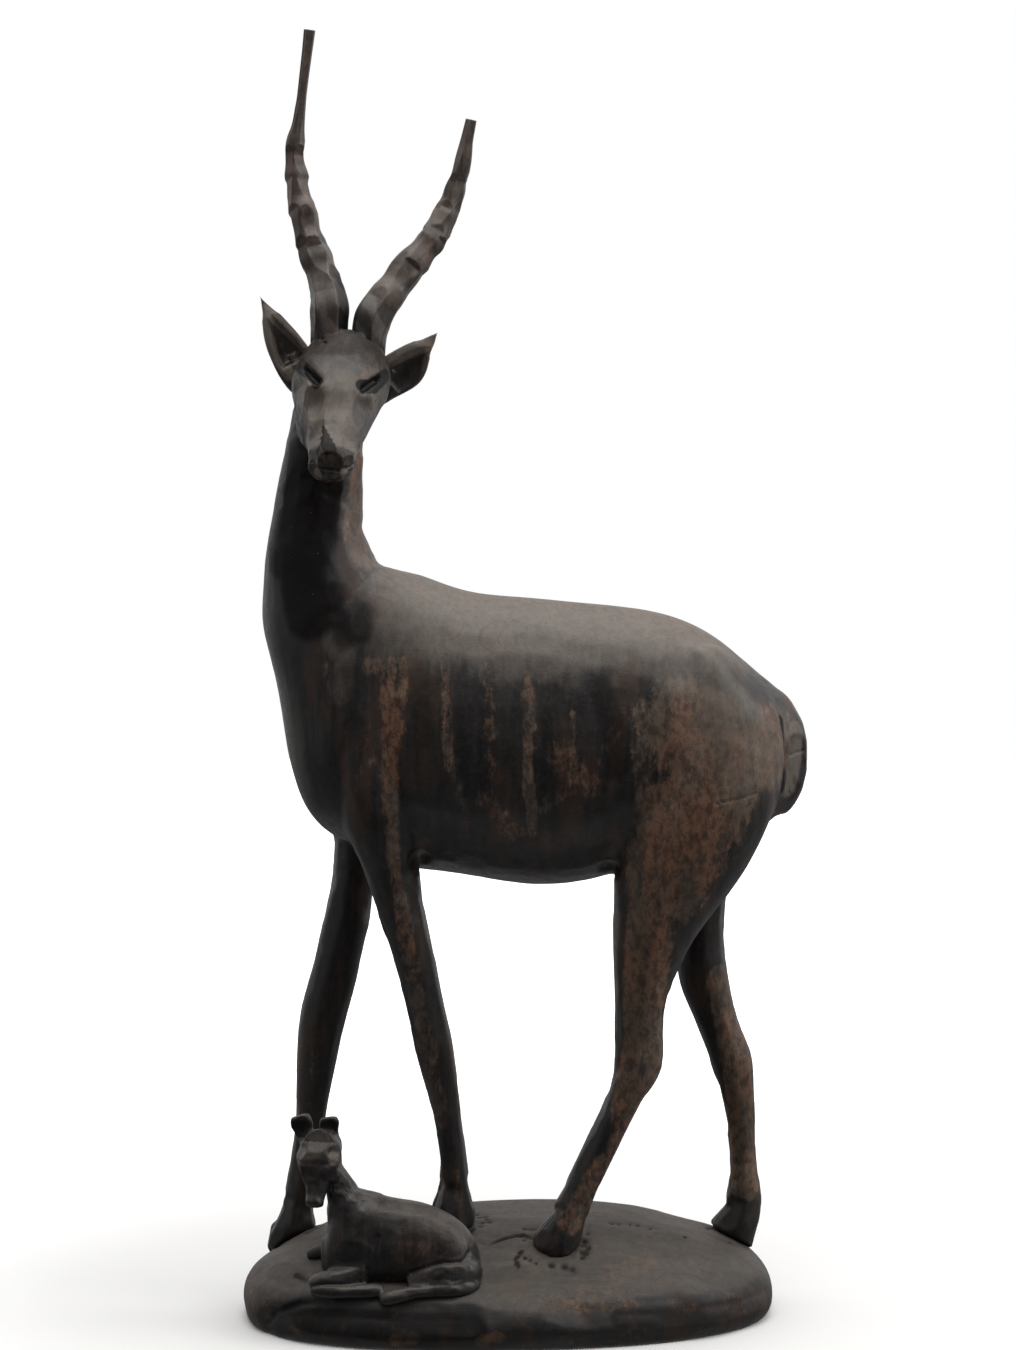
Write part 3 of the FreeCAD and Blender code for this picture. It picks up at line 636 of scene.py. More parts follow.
def carve_face(carving):
    """A smooth brow, sunken slanting eyes, a planed nose and a small cut mouth."""
    side, down, out = HEAD.axes
    # the long planes of the nose and cheeks run out softly into the forehead
    carving.shave(HEAD.at(1.5, 56, 13.8), out + down * 0.10 - side * 0.05, 19, 0.7, 0.25)
    for hand in (-1, 1):
        aim = out * 0.72 + side * hand * 0.62 + down * 0.10
        carving.shave(HEAD.at(hand * 10.6, 55, 10.6), aim, 20, 0.9, 0.45)
        aim = side * hand * 0.93 + down * 0.24 + out * 0.16
        carving.shave(HEAD.at(hand * 19.0, 43, 0), aim, 26, 0.8, 0.5)
        # the hollow under each eye, with the cheek bone left standing outside it
        carving.scoop(HEAD.at(hand * 14.0, 45, 12.5), (6.0, 12, 8), 1.3, 0.8, HEAD.axes)
    # eyes: a deep dark slit in a shallow socket
    for hand in (-1, 1):
        slit = HEAD.on_half(EYE_SLIT, hand)
        carving.groove(slit, 13.0, 1.6, 1.8)
        carving.groove(slit[:3], 9.0, 2.2, 1.8)
    carving.groove(HEAD.on_half(CHEEK_LINE, 1), 1.7, 0.9)
    carving.groove(HEAD.on_half(CHEEK_LINE, -1), 1.7, 0.3)
    carving.scoop(HEAD.at(-23, 44, -4), (18, 34, 22), -2.8, axes=HEAD.axes)
    carving.scoop(HEAD.at(-9, 80, -4), (13, 13, 14), -1.3, axes=HEAD.axes)
    # nose: facets beside a dark pad, then the front cut back under it
    carving.shave(HEAD.at(-9.0, 68, 9.0), out * 0.66 - side * 0.74, 9, 0.8, 0.3)
    carving.shave(HEAD.at(7.6, 69, 9.8), out * 0.72 + side * 0.66, 9, 0.8, 0.3)
    carving.shave(HEAD.at(-1.0, 81.2, 7.2), down * 0.82 + out * 0.50, 14, 0.9, 0.6)
    for hand in (-1, 1):
        aim = down * 0.48 + out * 0.30 + side * hand * 0.75
        carving.shave(HEAD.at(hand * 9.6, 79.0, 3.4), aim, 7, 0.8, 0.5)
    mouth = np.concatenate([HEAD.on_half(MOUTH, -1), HEAD.on_half(MOUTH[-2::-1], 1)])
    carving.groove(mouth, 3.2, 1.7)
    carving.shave(HEAD.at(7.8, 83.2, 0.4), out * 0.70 + down * 0.50 + side * 0.50, 4.2)
    carving.shave(HEAD.at(-8.0, 82.0, -2.5), down * 0.70 - side * 0.6 + out * 0.2, 5)
    # knife flats on the lips and the jaw
    across, along, forward = HEAD.places(carving.points).T
    z = carving.points[:, 2]
    carving.flats((along > 62) & (along < 88) & (z > NECK_BASE), 7, 8, 0.30)
    z = carving.points[:, 2]
    carving.flats((along < 60) & (forward < 2) & (z > 505), 9, 14, 0.25)
    raise_collars(carving)
    # old pits beside the horns
    for across, along in ((-14.0, 4.0), (-12.0, 7.2), (0.5, -3.5)):
        carving.scoop(HEAD.at(across, along, 19.5), (1.4, 0.9, 3), 1.6, 1, HEAD.axes)


def raise_collars(carving):
    """The brow climbs a little way up the front of each horn, so that it grows out smoothly."""
    z = carving.points[:, 2].copy()
    front = ease(0.0, 0.6, -carving.normals()[:, 1])
    across = HEAD.places(carving.points)[:, 0]
    for side, hand in (("left", 1), ("right", -1)):
        line = smooth_line(HORN_LINES[side][:4], 1.0)[:, :3]
        gap = distance_to_path(carving.points, line)
        aim = line[-1] - line[0]
        aim = aim / np.linalg.norm(aim) + np.array((0.0, -0.5, 0.0))
        lift = 5.0 * ease(18, 10, gap) * ease(536, 550, z) * front * ease(1, 9, across * hand)
        carving.points += lift[:, None] * aim
        carving.soften(5, ease(24, 17, gap) * ease(532, 545, z), 0.5)


def carve_body_marks(carving):
    """The crease where the neck was cut in, the hollow armpit and groin, and an old crack."""
    crease = [(-77, -11, 429.5), (-84, -21.5, 421.5), (-91, -26.5, 413.5), (-97, -28.5, 407)]
    carving.groove(crease, 13, 1.0, 1.6)
    carving.scoop((-99, -28, 391), (17, 12, 20), 1.2, 1)
    carving.scoop((-50, -24, 266), (9, 12, 7), 2.4, 1)
    carving.scoop((57, -18, 262), (7, 10, 7), 2.2, 1)
    carving.groove(RUMP_CRACK, 1.7, 0.9)


# Each stroke of the brush is a path, a half width and a strength.
BARE_STROKES = [
    ([(-66, -38, 376), (-65, -42, 340), (-65, -42, 300), (-62, -39, 262), (-58, -33, 234)], 8, 0.72),
    ([(-58, -33, 229), (-52, -26, 188), (-45, -22, 152), (-39, -16, 116)], 9, 0.62),
    ([(-77, -36, 377), (-60, -39, 379), (-60, -44, 345)], 8, 0.62),
    ([(-35, -39, 379), (-34, -46, 345), (-32, -46, 322)], 5, 0.50),
    ([(-12, -38, 376), (-11, -46, 352), (-10, -46, 340)], 7, 0.52),
    ([(-10, -46, 330), (-11, -42, 296)], 6, 0.50),
    ([(-3, -40, 377), (8, -40, 375), (20, -41, 370)], 4, 0.42),
    ([(10, -42, 370), (12, -46, 345)], 6, 0.62),
    ([(11, -47, 338), (12, -46, 306), (14, -37, 284)], 5, 0.72),
    ([(33, -44, 366), (34, -47, 350)], 3, 0.45),
    ([(-12, -44, 304), (-4, -40, 290), (8, -38, 284)], 11, 0.50),
    ([(28, -45, 330), (38, -46, 318), (46, -44, 312)], 14, 0.50),
    ([(20, -44, 300), (48, -43, 322), (58, -44, 340)], 9, 0.40),
    ([(-24, -44, 300), (-28, -46, 335)], 7, 0.34),
    ([(36, -44, 352), (38, -47, 322), (40, -42, 296)], 3, 0.55),
    ([(100, -44, 345), (118, -47, 318), (102, -49, 290), (88, -46, 262)], 40, 1.0),
    ([(150, -25, 335), (128, -44, 322)], 30, 0.95),
    ([(70, -46, 372), (72, -48, 340), (74, -46, 305)], 8, 0.50),
    ([(84, -45, 300), (80, -42, 250), (77, -37, 200), (78, -34, 165), (72, -30, 125)], 20, 1.0),
    ([(66, -31, 110), (50, -34, 85), (35, -34, 62)], 12, 0.72),
    ([(73, -44, 310), (75, -41, 286), (78, -42, 258)], 3, 1.15),
    ([(77, -36, 192), (79, -34, 170), (79, -32, 143)], 4, 0.95),
    ([(124, 18, 190), (134, 17, 145), (136, 17, 110), (139, 17, 70)], 13, 1.25),
    ([(-82, 4, 505), (-84, -1, 480), (-86, -4, 455), (-84, -8, 436)], 12, 0.95),
    ([(-31, -20, 95), (-30, -18, 66)], 7, 0.4),
    ([(-116, 14, 200), (-114, 14, 150), (-118, 14, 100)], 8, 0.32),
    ([(-96, -36, 380), (-88, -40, 350), (-80, -42, 320)], 20, 0.26),
]
# Dark strokes. The drips down the flank are stain. The strokes on the front of the neck and chest, in
# the crease at the shoulder, in the armpit and groin, before the thigh, and along the groove and
# outer edge of the tail are painted shade. The far legs are painted a little darker.
SOOT_AND_PAINTED_SHADE_STROKES = [
    ([(-108, -12, 506), (-114, -15, 470), (-119, -15, 442)], 33, 1.15),
    ([(-118, -17, 436), (-110, -26, 404)], 25, 0.92),
    ([(-98, -30, 420), (-91, -35, 394)], 15, 0.72),
    ([(-124, -14, 410), (-122, -16, 384)], 16, 0.5),
    ([(-80, -30, 410), (-82, -33, 395)], 12, 0.7),
    ([(-47, -46, 366), (-47, -45, 300), (-46, -40, 276)], 11, 0.50),
    ([(-22, -45, 365), (-24, -46, 318)], 9, 0.42),
    ([(-1, -46, 362), (2, -47, 322)], 8, 0.36),
    ([(22, -46, 368), (24, -47, 300), (30, -38, 278)], 11, 0.46),
    ([(50, -45, 370), (58, -46, 345), (60, -45, 322)], 15, 0.62),
    ([(-82, -38, 345), (-84, -36, 312), (-76, -40, 290)], 10, 0.6),
    ([(-52, -30, 268)], 12, 0.9),
    ([(57, -18, 264)], 12, 1.0),
    ([(62, -38, 300), (66, -40, 262)], 8, 0.5),
    ([(152, -16, 345), (151, -21, 322), (151, -18, 302)], 6, 1.2),
    ([(169.5, -1, 342), (171, 0, 322), (169, -1, 306)], 3, 1.0),
    ([(-126, 14, 230), (-116, 12, 180), (-112, 12, 140)], 12, 0.35),
    ([(97, 14, 200), (106, 14, 170)], 12, 0.35),
]
# Light strokes of dust and painted sheen: the sheen patches on the shoulder and rump and the bright
# facet of the tail are painted highlights.
DUST_AND_PAINTED_SHEEN_STROKES = [
    ([(-99, -32, 392), (-90, -34, 382), (-93, -35, 362)], 12, 0.5),
    ([(-122, -18, 357), (-114, -18, 311)], 16, 0.36),
    ([(84, -38, 384), (88, -44, 366)], 8, 0.85),
    ([(58, -40, 388), (60, -45, 370)], 9, 0.75),
    ([(92, -38, 376), (112, -37, 367), (126, -34, 354)], 19, 0.72),
    ([(112, -44, 340), (136, -36, 336), (128, -42, 318)], 30, 0.55),
    ([(132, -34, 352), (148, -26, 334), (146, -28, 314)], 16, 0.60),
    ([(160, -11, 306), (163, -9.5, 322), (163.5, -8.5, 338)], 8.5, 1.7),
    ([(-84, -14, 440), (-80, -10, 434)], 11, 0.75),
    ([(-40, -46, 290), (0, -44, 272), (40, -42, 280)], 17, 0.34),
    ([(-46, -46, 330), (-44, -46, 300)], 8, 0.30),
    ([(30, -47, 350), (36, -47, 335)], 12, 0.28),
]


def both_sides(strokes):
    """The strokes, and a like set on the far side of the trunk, moved along a little."""
    far = []
    for path, width, strength in strokes:
        if path[0][1] < -10:
            moved = far_side([(x + 6, y, z) for x, y, z in path])
            far.append((moved, width * 1.1, strength * 0.9))
    return strokes + far


def stain_and_shade_antelope(carving):
    """Where the stain is worn, dulled or thick, and where painted sheen and painted shade lie."""
    normals = carving.normals()
    across, along, out = HEAD.places(carving.points).T
    x, y, z = carving.now()
    coat = Coat(carving)
    coat.brush("bare", both_sides(BARE_STROKES), 0.35)
    coat.brush("soot", both_sides(SOOT_AND_PAINTED_SHADE_STROKES))
    coat.brush("haze", both_sides(DUST_AND_PAINTED_SHEEN_STROKES))
    # wax dust and a painted sheen along the back, lighter on faces that turn up, running out softly
    # and unevenly down the flanks
    wander = 4 * np.sin(x * 0.055 + 0.8) + 2.5 * np.sin(x * 0.16 + 2.0)
    wander = wander + 2.2 * np.sin(x * 0.43) * np.sin(x * 0.11) + 1.2 * np.sin(x * 0.9 + 1.0)
    back = ease(359, 385, z + wander) * ease(NECK_BASE, 440, z) * ease(-96, -64, x)
    back = back * (0.55 + 0.45 * ease(0.1, 0.8, normals[:, 2]))
    coat.lay(back * (1 - 0.35 * ease(110, 135, x)), haze=1)
    # the face is dulled with dust all over and carries a painted highlight, the forehead less than
    # the cheeks
    face = ease(-2, 6, out) * (z > 480) * (y < 5)
    coat.lay(face * ease(38, 8, along), soot=0.74, bare=0.60)
    coat.lay(face * (0.10 + 0.84 * ease(14, 36, along)), haze=1)
    # the hollow under the eye is painted darker, as shade
    under_eye_shade = ease(10, 2, np.abs(across - 14)) * ease(30, 46, along) * ease(72, 50, along)
    coat.lift("haze", 0.50 * under_eye_shade * face)
    # the lips are dark, but for two knife marks with a painted highlight
    muzzle = ease(74, 77.5, along + 0.22 * np.abs(across)) * (z > NECK_BASE) * ease(-18, -12, out)
    coat.lift("haze", 0.97 * muzzle)
    # faces of the body that turn up take a painted sheen, partly dust
    coat.lay(ease(0.5, 0.95, normals[:, 2]) * (z < NECK_BASE), haze=0.55)
    coat.lay(ease(400, 370, z), haze=0.16)
    coat.lay(muzzle, soot=0.42, bare=0.42)
    for lip in (HEAD.at(8.4, 83.6, 0.2), HEAD.at(-7.6, 84.0, -2.0)):
        mark = ease(3.6, 2.2, distance_to_path(carving.points, carving.lay_on([lip, lip])[:1]))
        coat.lay(mark, haze=1.1)
        coat.lift("soot", mark)
    # a brown painted shade runs down the side of the nose bridge, and the brow darkens and browns
    # towards the horns
    nose_side_shade = distance_to_path(carving.points, HEAD.on_half(NOSE_SIDE_SHADE, 1))
    nose_side_shade = ease(11, 1, nose_side_shade) * (z > 480)
    coat.lay(nose_side_shade, bare=0.42)
    coat.lift("haze", 0.18 * nose_side_shade)
    brow = ease(541, 553, z) * (y < 20)
    coat.lay(brow, bare=0.52, soot=0.78)
    coat.lift("haze", 0.6 * brow)
    # the eyes are black, and the patch on the nose is brown
    for hand in (-1, 1):
        slit = carving.lay_on(HEAD.on_half(EYE_SLIT, hand))
        near = distance_to_path(carving.points, slit)
        coat.lay(ease(5.2, 3.0, near), soot=1.2)
        coat.lift("haze", ease(5.4, 3.2, near))
    lid = distance_to_path(carving.points, carving.lay_on(HEAD.on_half(EYELID, 1)))
    coat.lay(ease(3.6, 1.4, lid), bare=0.55)
    pad = distance_to_path(carving.points, carving.lay_on(HEAD.on_half(NOSE_PATCH, 1)))
    pad = pad + 0.6 * np.sin(x * 1.3 + z * 0.7) + 0.4 * np.sin(x * 0.8 - z * 1.9)
    pad = ease(0.8, -0.6, pad - 1.0 - 0.24 * np.clip(along - 62, 0, 14)) * (z > NECK_BASE)
    coat.lay(pad, soot=0.80, bare=0.50)
    coat.lift("haze", 0.95 * pad)
    # painted shade: faces that turn down, the inner sides of the legs and the belly, are darker
    coat.lay(ease(-0.2, -0.8, normals[:, 2]) * (z < 330), soot=0.3)
    coat.keep()


# ---- The horns -----------------------------------------------------------------------------

HORN_SIDES = 96
RING_STEP = 0.7

# Points on the axis of each horn, with the diameter there.
HORN_LINES = {"left": [
    (-79.8, 0.5, 546, 18.8), (-78.6, 3.4, 561.5, 19.4), (-76.8, 5.7, 570.5, 21.4),
    (-73.4, 8.1, 577.5, 21.0), (-68.3, 10.4, 584.5, 19.6), (-63.8, 12.8, 591, 17.0),
    (-58.7, 15.1, 598, 18.6), (-53.5, 17.5, 604.5, 17.8), (-48.3, 19.8, 611, 15.0),
    (-43.7, 22.2, 616.5, 16.8), (-38.8, 24.5, 625.5, 14.0), (-35.3, 26.2, 632.5, 14.4),
    (-32.4, 27, 639.5, 11.4), (-29.9, 26.7, 646.5, 11.4), (-27.4, 25.5, 654.2, 9),
    (-25.3, 24.4, 663.3, 8.6), (-23.1, 23.2, 673.5, 7), (-20.6, 22, 685, 5.8),
], "right": [
    (-100.8, 0, 547.5, 20.4), (-101.1, 3.5, 565.5, 20.4), (-101.2, 5.9, 577, 22.4),
    (-102.2, 8.4, 585, 21.6), (-103.4, 10.8, 590.7, 20), (-106.4, 13.3, 599, 16.4),
    (-109.2, 15.7, 606, 18.4), (-111.7, 18.2, 612.6, 17.4), (-114.5, 20.6, 621.5, 14.4),
    (-116.8, 23.1, 632, 16.0), (-119.1, 25.6, 641, 13.0), (-120.8, 27.6, 652.8, 13.2),
    (-121.6, 28.6, 661.5, 10.4), (-121.6, 29, 670, 10.6), (-121.3, 28.8, 675, 9.4),
    (-119.8, 28.1, 683.5, 6.2), (-118, 26.8, 696, 5), (-116.2, 25.5, 709, 4.9),
    (-114.3, 24.3, 722.5, 5.1), (-112.6, 23, 735.5, 5.7),
]}
# Heights of the crests on each horn, and where its plain tip begins.
HORN_CRESTS = {
    "left": ([548, 587, 604, 621.5, 638.5, 655], 652),
    "right": ([548, 597, 617, 636, 654, 673.5], 676),
}


def smooth_line(stations, step):
    """Even stations along a smooth line through the given ones."""
    points = np.array(stations, float)
    gaps = np.linalg.norm(np.diff(points[:, :3], axis=0), axis=1)
    along = np.concatenate([[0], np.cumsum(gaps)])
    wanted = np.linspace(0, along[-1], int(along[-1] / step) + 1)
    padded = np.concatenate([[2 * points[0] - points[1]], points, [2 * points[-1] - points[-2]]])
    line = []
    for length in wanted:
        i = min(int(np.searchsorted(along, length, side="right")) - 1, len(points) - 2)
        t = (length - along[i]) / (along[i + 1] - along[i])
        a, b, c, d = padded[i:i + 4]
        line.append(0.5 * (2 * b + (c - a) * t + (2 * a - 5 * b + 4 * c - d) * t * t
                           + (3 * b - a - 3 * c + d) * t ** 3))
    return np.array(line)


def horn_directions(line):
    """Two directions square to the horn, at every ring."""
    aims = np.gradient(line[:, :3], axis=0)
    aims /= np.linalg.norm(aims, axis=1)[:, None]
    across = np.cross(aims, (0.0, 1.0, 0.0))
    across /= np.linalg.norm(across, axis=1)[:, None]
    return across, np.cross(aims, across)


def turn_horn(name, line):
    """A horn drawn out ring by ring, with the number of its ring stored on each point."""
    shape = bmesh.new()
    ring_of = shape.verts.layers.int.new("ring")
    made = bmesh.ops.create_circle(shape, cap_ends=True, segments=HORN_SIDES, radius=1.0)
    edges = list(shape.edges)
    across, other = horn_directions(line)

    def set_ring(verts, i):
        for k, vert in enumerate(verts):
            angle = 2 * math.pi * k / HORN_SIDES
            out = across[i] * math.cos(angle) + other[i] * math.sin(angle)
            vert.co = Vector((line[i, :3] + out * line[i, 3] / 2) * MM)
            vert[ring_of] = i
        return verts

    ordered = set_ring(list(made["verts"]), 0)
    for i in range(1, len(line)):
        grown = bmesh.ops.extrude_edge_only(shape, edges=edges)["geom"]
        fresh = set(g for g in grown if isinstance(g, bmesh.types.BMVert))
        ordered = set_ring([
            next(e.other_vert(vert) for e in vert.link_edges if e.other_vert(vert) in fresh)
            for vert in ordered
        ], i)
        edges = [
            g for g in grown
            if isinstance(g, bmesh.types.BMEdge) and g.verts[0] in fresh and g.verts[1] in fresh
        ]
    bmesh.ops.holes_fill(shape, edges=edges, sides=0)
    bmesh.ops.poke(shape, faces=[face for face in shape.faces if len(face.verts) > 8])
    bmesh.ops.recalc_face_normals(shape, faces=shape.faces)
    mesh = bpy.data.meshes.new(name)
    shape.to_mesh(mesh)
    shape.free()
    return stand(name, mesh)


class HornCuts:
    """Flat knife cuts on a horn, each drawn along it at its own angle round it."""

    def __init__(self, piece, line):
        self.carving = Carving(piece)
        self.line = line
        rings = np.zeros(self.carving.count, np.int32)
        piece.data.attributes["ring"].data.foreach_get("value", rings)
        piece.data.attributes.remove(piece.data.attributes["ring"])
        across, other = horn_directions(line)
        self.across = across[rings]
        self.other = other[rings]
        self.ring_line = line[rings]
        self.tones = np.zeros(self.carving.count)

    def cut(self, angle, low, high, depth, deepest):
        """Goes in from the low end to its deepest share, and out again at the high end."""
        share = (self.ring_line[:, 2] - low) / (high - low)
        rise = np.clip(share / deepest, 0, 1) ** 1.3
        fall = np.clip((1 - share) / (1 - deepest), 0, 1) ** 0.8
        inside = (share > 0) & (share < 1)
        out = self.across * math.cos(angle) + self.other * math.sin(angle)
        off = self.carving.points - self.ring_line[:, :3]
        plane = self.ring_line[:, 3] / 2 - depth * rise * fall
        over = np.clip((off * out).sum(1) - plane, 0, None) * inside
        self.carving.points -= out * over[:, None]
        self.tones[over > 0.12] = CHANCE.uniform(-1, 1)

    def radius_at(self, height):
        return self.line[int(np.argmin(np.abs(self.line[:, 2] - height))), 3] / 2

    def ring(self, low, high, sides):
        """Cuts all round between two crests, deepest just under the upper one."""
        start = CHANCE.uniform(0, 2 * math.pi)
        radius = self.radius_at((low + high) / 2)
        sagitta = radius * (1 - math.cos(math.pi / sides))
        for k in range(sides):
            angle = start + (k + CHANCE.uniform(-0.25, 0.25)) * 2 * math.pi / sides
            bottom = low + CHANCE.uniform(-7.0, 1.0)
            top = high + CHANCE.uniform(-2.5, 3.5)
            depth = 0.95 * sagitta + CHANCE.uniform(-0.10, 1.10) * radius / 9
            self.cut(angle, bottom, top, depth, CHANCE.uniform(0.70, 0.93))

    def tip(self, low, sides):
        """Long flats up the plain tip."""
        high = self.line[-1, 2] + 40
        sagitta = self.radius_at(low + 15) * (1 - math.cos(math.pi / sides))
        for k in range(sides):
            angle = (k + CHANCE.uniform(-0.15, 0.15)) * 2 * math.pi / sides + 0.6
            self.cut(angle, low + CHANCE.uniform(-8, 4), high, sagitta * 1.15, 0.25)


def carve_horn(side):
    """A horn with its knife-cut rings and plain tip, its root swelling forward into the brow."""
    fuller = [(x, y, z, wide + 1.1) for x, y, z, wide in HORN_LINES[side]]
    line = smooth_line(fuller, RING_STEP)
    piece = turn_horn(f"horn_{side}_carving", line)
    cuts = HornCuts(piece, line)
    crests, tip_from = HORN_CRESTS[side]
    for low, high in zip(crests[:-1], crests[1:]):
        cuts.ring(low, high, 6 if high < 640 else 5)
    cuts.tip(tip_from, 5)
    carving = cuts.carving
    z = carving.points[:, 2]
    forward = ease(0.0, 0.9, -carving.normals()[:, 1]) * ease(600, 556, z) * ease(536, 546, z)
    carving.points[:, 1] -= 5.2 * forward
    stain_and_shade_horn(cuts)
    return piece


def stain_and_shade_horn(cuts):
    """Taupe dust on the crests with a painted sheen on faces that turn up, dark in the deepest cuts
    and round the root.
    """
    carving = cuts.carving
    upward = carving.normals()[:, 2]
    x, y, z = carving.now()
    off = carving.points - cuts.ring_line[:, :3]
    depth = cuts.ring_line[:, 3] / 2 - np.linalg.norm(off, axis=1)
    hollow = ease(0.6, 2.2, carving.spread(depth, 2))
    patch = ease(-0.5, 0.6, np.sin(x * 0.45 + z * 0.21) + 0.6 * np.sin(z * 0.33 + 1.0))
    light = np.clip(cuts.tones, 0, 1)
    dark = np.clip(-cuts.tones, 0, 1)
    # faces that turn up take a painted sheen
    haze = 0.50 + 0.20 * ease(0.0, 0.8, upward) - 0.25 * hollow + 0.30 * (light - dark)
    haze = haze * ease(552, 590, z) + 0.06 * ease(590, 552, z)
    root = ease(548, 560, z) * ease(604, 576, z)
    soot = 0.15 * hollow + 0.66 * np.clip(dark - 0.15, 0, 1) + 0.50 * root * patch
    coat = Coat(carving, 0.48 + 0.20 * dark * ease(590, 610, z), soot, haze)
    coat.lay((0.62 + 0.2 * patch) * ease(606, 570, z), soot=1)
    streak = ease(0.2, 0.8, np.sin(np.arctan2(off[:, 1], off[:, 0]) * 2 + 1.2))
    coat.lay(streak * ease(668, 690, z), soot=0.7)
    coat.keep()


# ---- The ears ------------------------------------------------------------------------------

# The edges of each ear that take a painted highlight, with half their width: on one ear the upper
# edge is a broad lip.
EAR_EDGES = {
    "ear_left": [([(-67, 9, 551), (-56, 9.4, 556.5), (-48, 10, 560), (-40, 11.5, 564)], 7.5)],
    "ear_right": [
        ([(-142, 8, 576), (-138.5, 7.8, 566), (-132.5, 6, 552), (-124, 6, 540)], 3.8),
        ([(-139, 10, 577), (-130, 10, 570), (-121, 11, 561), (-113, 11, 553)], 3.4),
    ],
}


def sharpen_ear(carving):
    """Draws the blunt end of an ear out to a point."""
    points = carving.points
    middle = points.mean(0)
    far = points[np.argmax(np.linalg.norm(points - HEAD.root, axis=1))]
    reach = points @ ((far - middle) / np.linalg.norm(far - middle))
    end = reach.max()
    tip = points[reach > end - 3].mean(0)
    aim = tip - points[np.abs(reach - end + 11) < 1].mean(0)
    aim /= np.linalg.norm(aim)
    line = tip + ((points - tip) @ aim)[:, None] * aim
    share = np.clip((end - reach) / 13, 0, 1)
    carving.points = line + (points - line) * (0.12 + 0.88 * share)[:, None] ** 0.9


def carve_ear(node):
    piece = rough_out(node, f"{node}_carving", 0.65)
    carving = Carving(piece)
    carving.soften(2, share=0.4)
    carving.press(-0.35)
    sharpen_ear(carving)
    carving.flats(np.ones(carving.count, bool), 8, 12, 0.16)
    carving.soften(1, share=0.3)
    backward = carving.normals()[:, 1]
    hollow = ease(0.25, 0.75, carving.spread(np.clip(-backward, 0, 1), 8))
    lip = np.zeros(carving.count)
    for path, wide in EAR_EDGES[node]:
        gap = distance_to_path(carving.points, path)
        lip = np.maximum(lip, ease(wide, wide * 0.8, gap) * (backward < 0.3))
    if node == "ear_left":
        carving.points[:, 1] -= 1.8 * carving.spread(lip * hollow, 3)
    # the hollow of the ear is painted dark as shade, and its lip light as a painted highlight
    haze = 0.67 - 0.25 * hollow + 0.80 * lip
    Coat(carving, 0.20 + 0.15 * lip, 0.50 * hollow * (1 - lip), haze).keep()
    return piece


# ---- The fawn ------------------------------------------------------------------------------

FAWN_CREASES = [
    ([(-19, -55, 52), (-24, -58, 47), (-34, -59, 46), (-46, -58, 43), (-54, -57, 40)], 3.4, 1.5, 1.2),
    ([(-108, -61, 33.5), (-94, -62.5, 35), (-76, -60, 35)], 3, 1.1, 1.2),
    ([(-72, -57, 60), (-74, -57, 50), (-78, -58, 42)], 5, 0.9, 1.5),
]


def carve_fawn():
    piece = rough_out("fawn", "fawn_carving", 0.85)
    carving = Carving(piece)
    carving.ease_corners(10, np.ones(carving.count), 0.03)
    carving.soften(2, share=0.4)
    x, y, z = carving.now()
    head = (z > 80) & (x < -90)
    carving.flats(~head & (z > 42), 12, 14, 0.16)
    carving.flats(z <= 42, 7, 9, 0.16)
    carve_fawn_head(carving)
    # the head stands a little forward, the back is full, and creases part the folded legs
    carving.points[:, 0] -= 1.4 * ease(84, 100, carving.points[:, 2])
    carving.scoop((-55, -36, 74), (58, 34, 26), -1.8)
    for path, width, depth, sharp in FAWN_CREASES:
        carving.groove(path, width, depth, sharp)
    carving.soften(1, share=0.25)
    stain_and_shade_fawn(carving)
    return piece


def stain_and_shade_fawn(carving):
    normals = carving.normals()
    x, y, z = carving.now()
    upward = normals[:, 2]
    # painted shade on faces that turn down, and painted sheen, partly dust, on faces that turn up
    coat = Coat(carving, 0.08, 0.5 * ease(0.1, -0.6, upward), 0.16 + 0.40 * ease(0.1, 0.9, upward))
    bare = [
        ([(-97, -56, 75), (-95, -56, 55)], 7, 0.5), ([(-60, -58, 50), (-35, -58, 50)], 12, 0.38),
        ([(-108, -62, 90), (-108, -62, 84)], 5, 0.5),
    ]
    haze = [
        ([(-80, -50, 77), (-74, -51, 74)], 7, 0.4),
        ([(-44, -52, 66), (-35, -51, 64), (-26, -50, 58)], 7, 0.5),
    ]
    coat.brush("bare", bare, 0.5)
    coat.brush("haze", haze, 0.5)
    places = FAWN_HEAD.places(carving.points)
    along = places[:, 1]
    head = (along > -6) & (z > 85)
    coat.lift("haze", 0.5 * head)
    # the planes of the face that turn out take a painted highlight near the brow
    facing = ease(0.2, 0.6, normals @ FAWN_HEAD.axes[2])
    coat.lay(facing * ease(14, 10, along) * head, haze=0.50)
    cheek = np.linalg.norm(places - np.array((9.8, 9, 5)), axis=1)
    coat.lay(ease(5.5, 4.0, cheek), haze=0.85)
    # the muzzle, which faces down, is painted dark as shade
    coat.lay(ease(13, 16, along) * head, soot=0.65)
    ears = (z > 112) & (normals[:, 1] < -0.3)
    coat.lay(ears * ease(125, 120, z), soot=0.8)
    coat.keep()


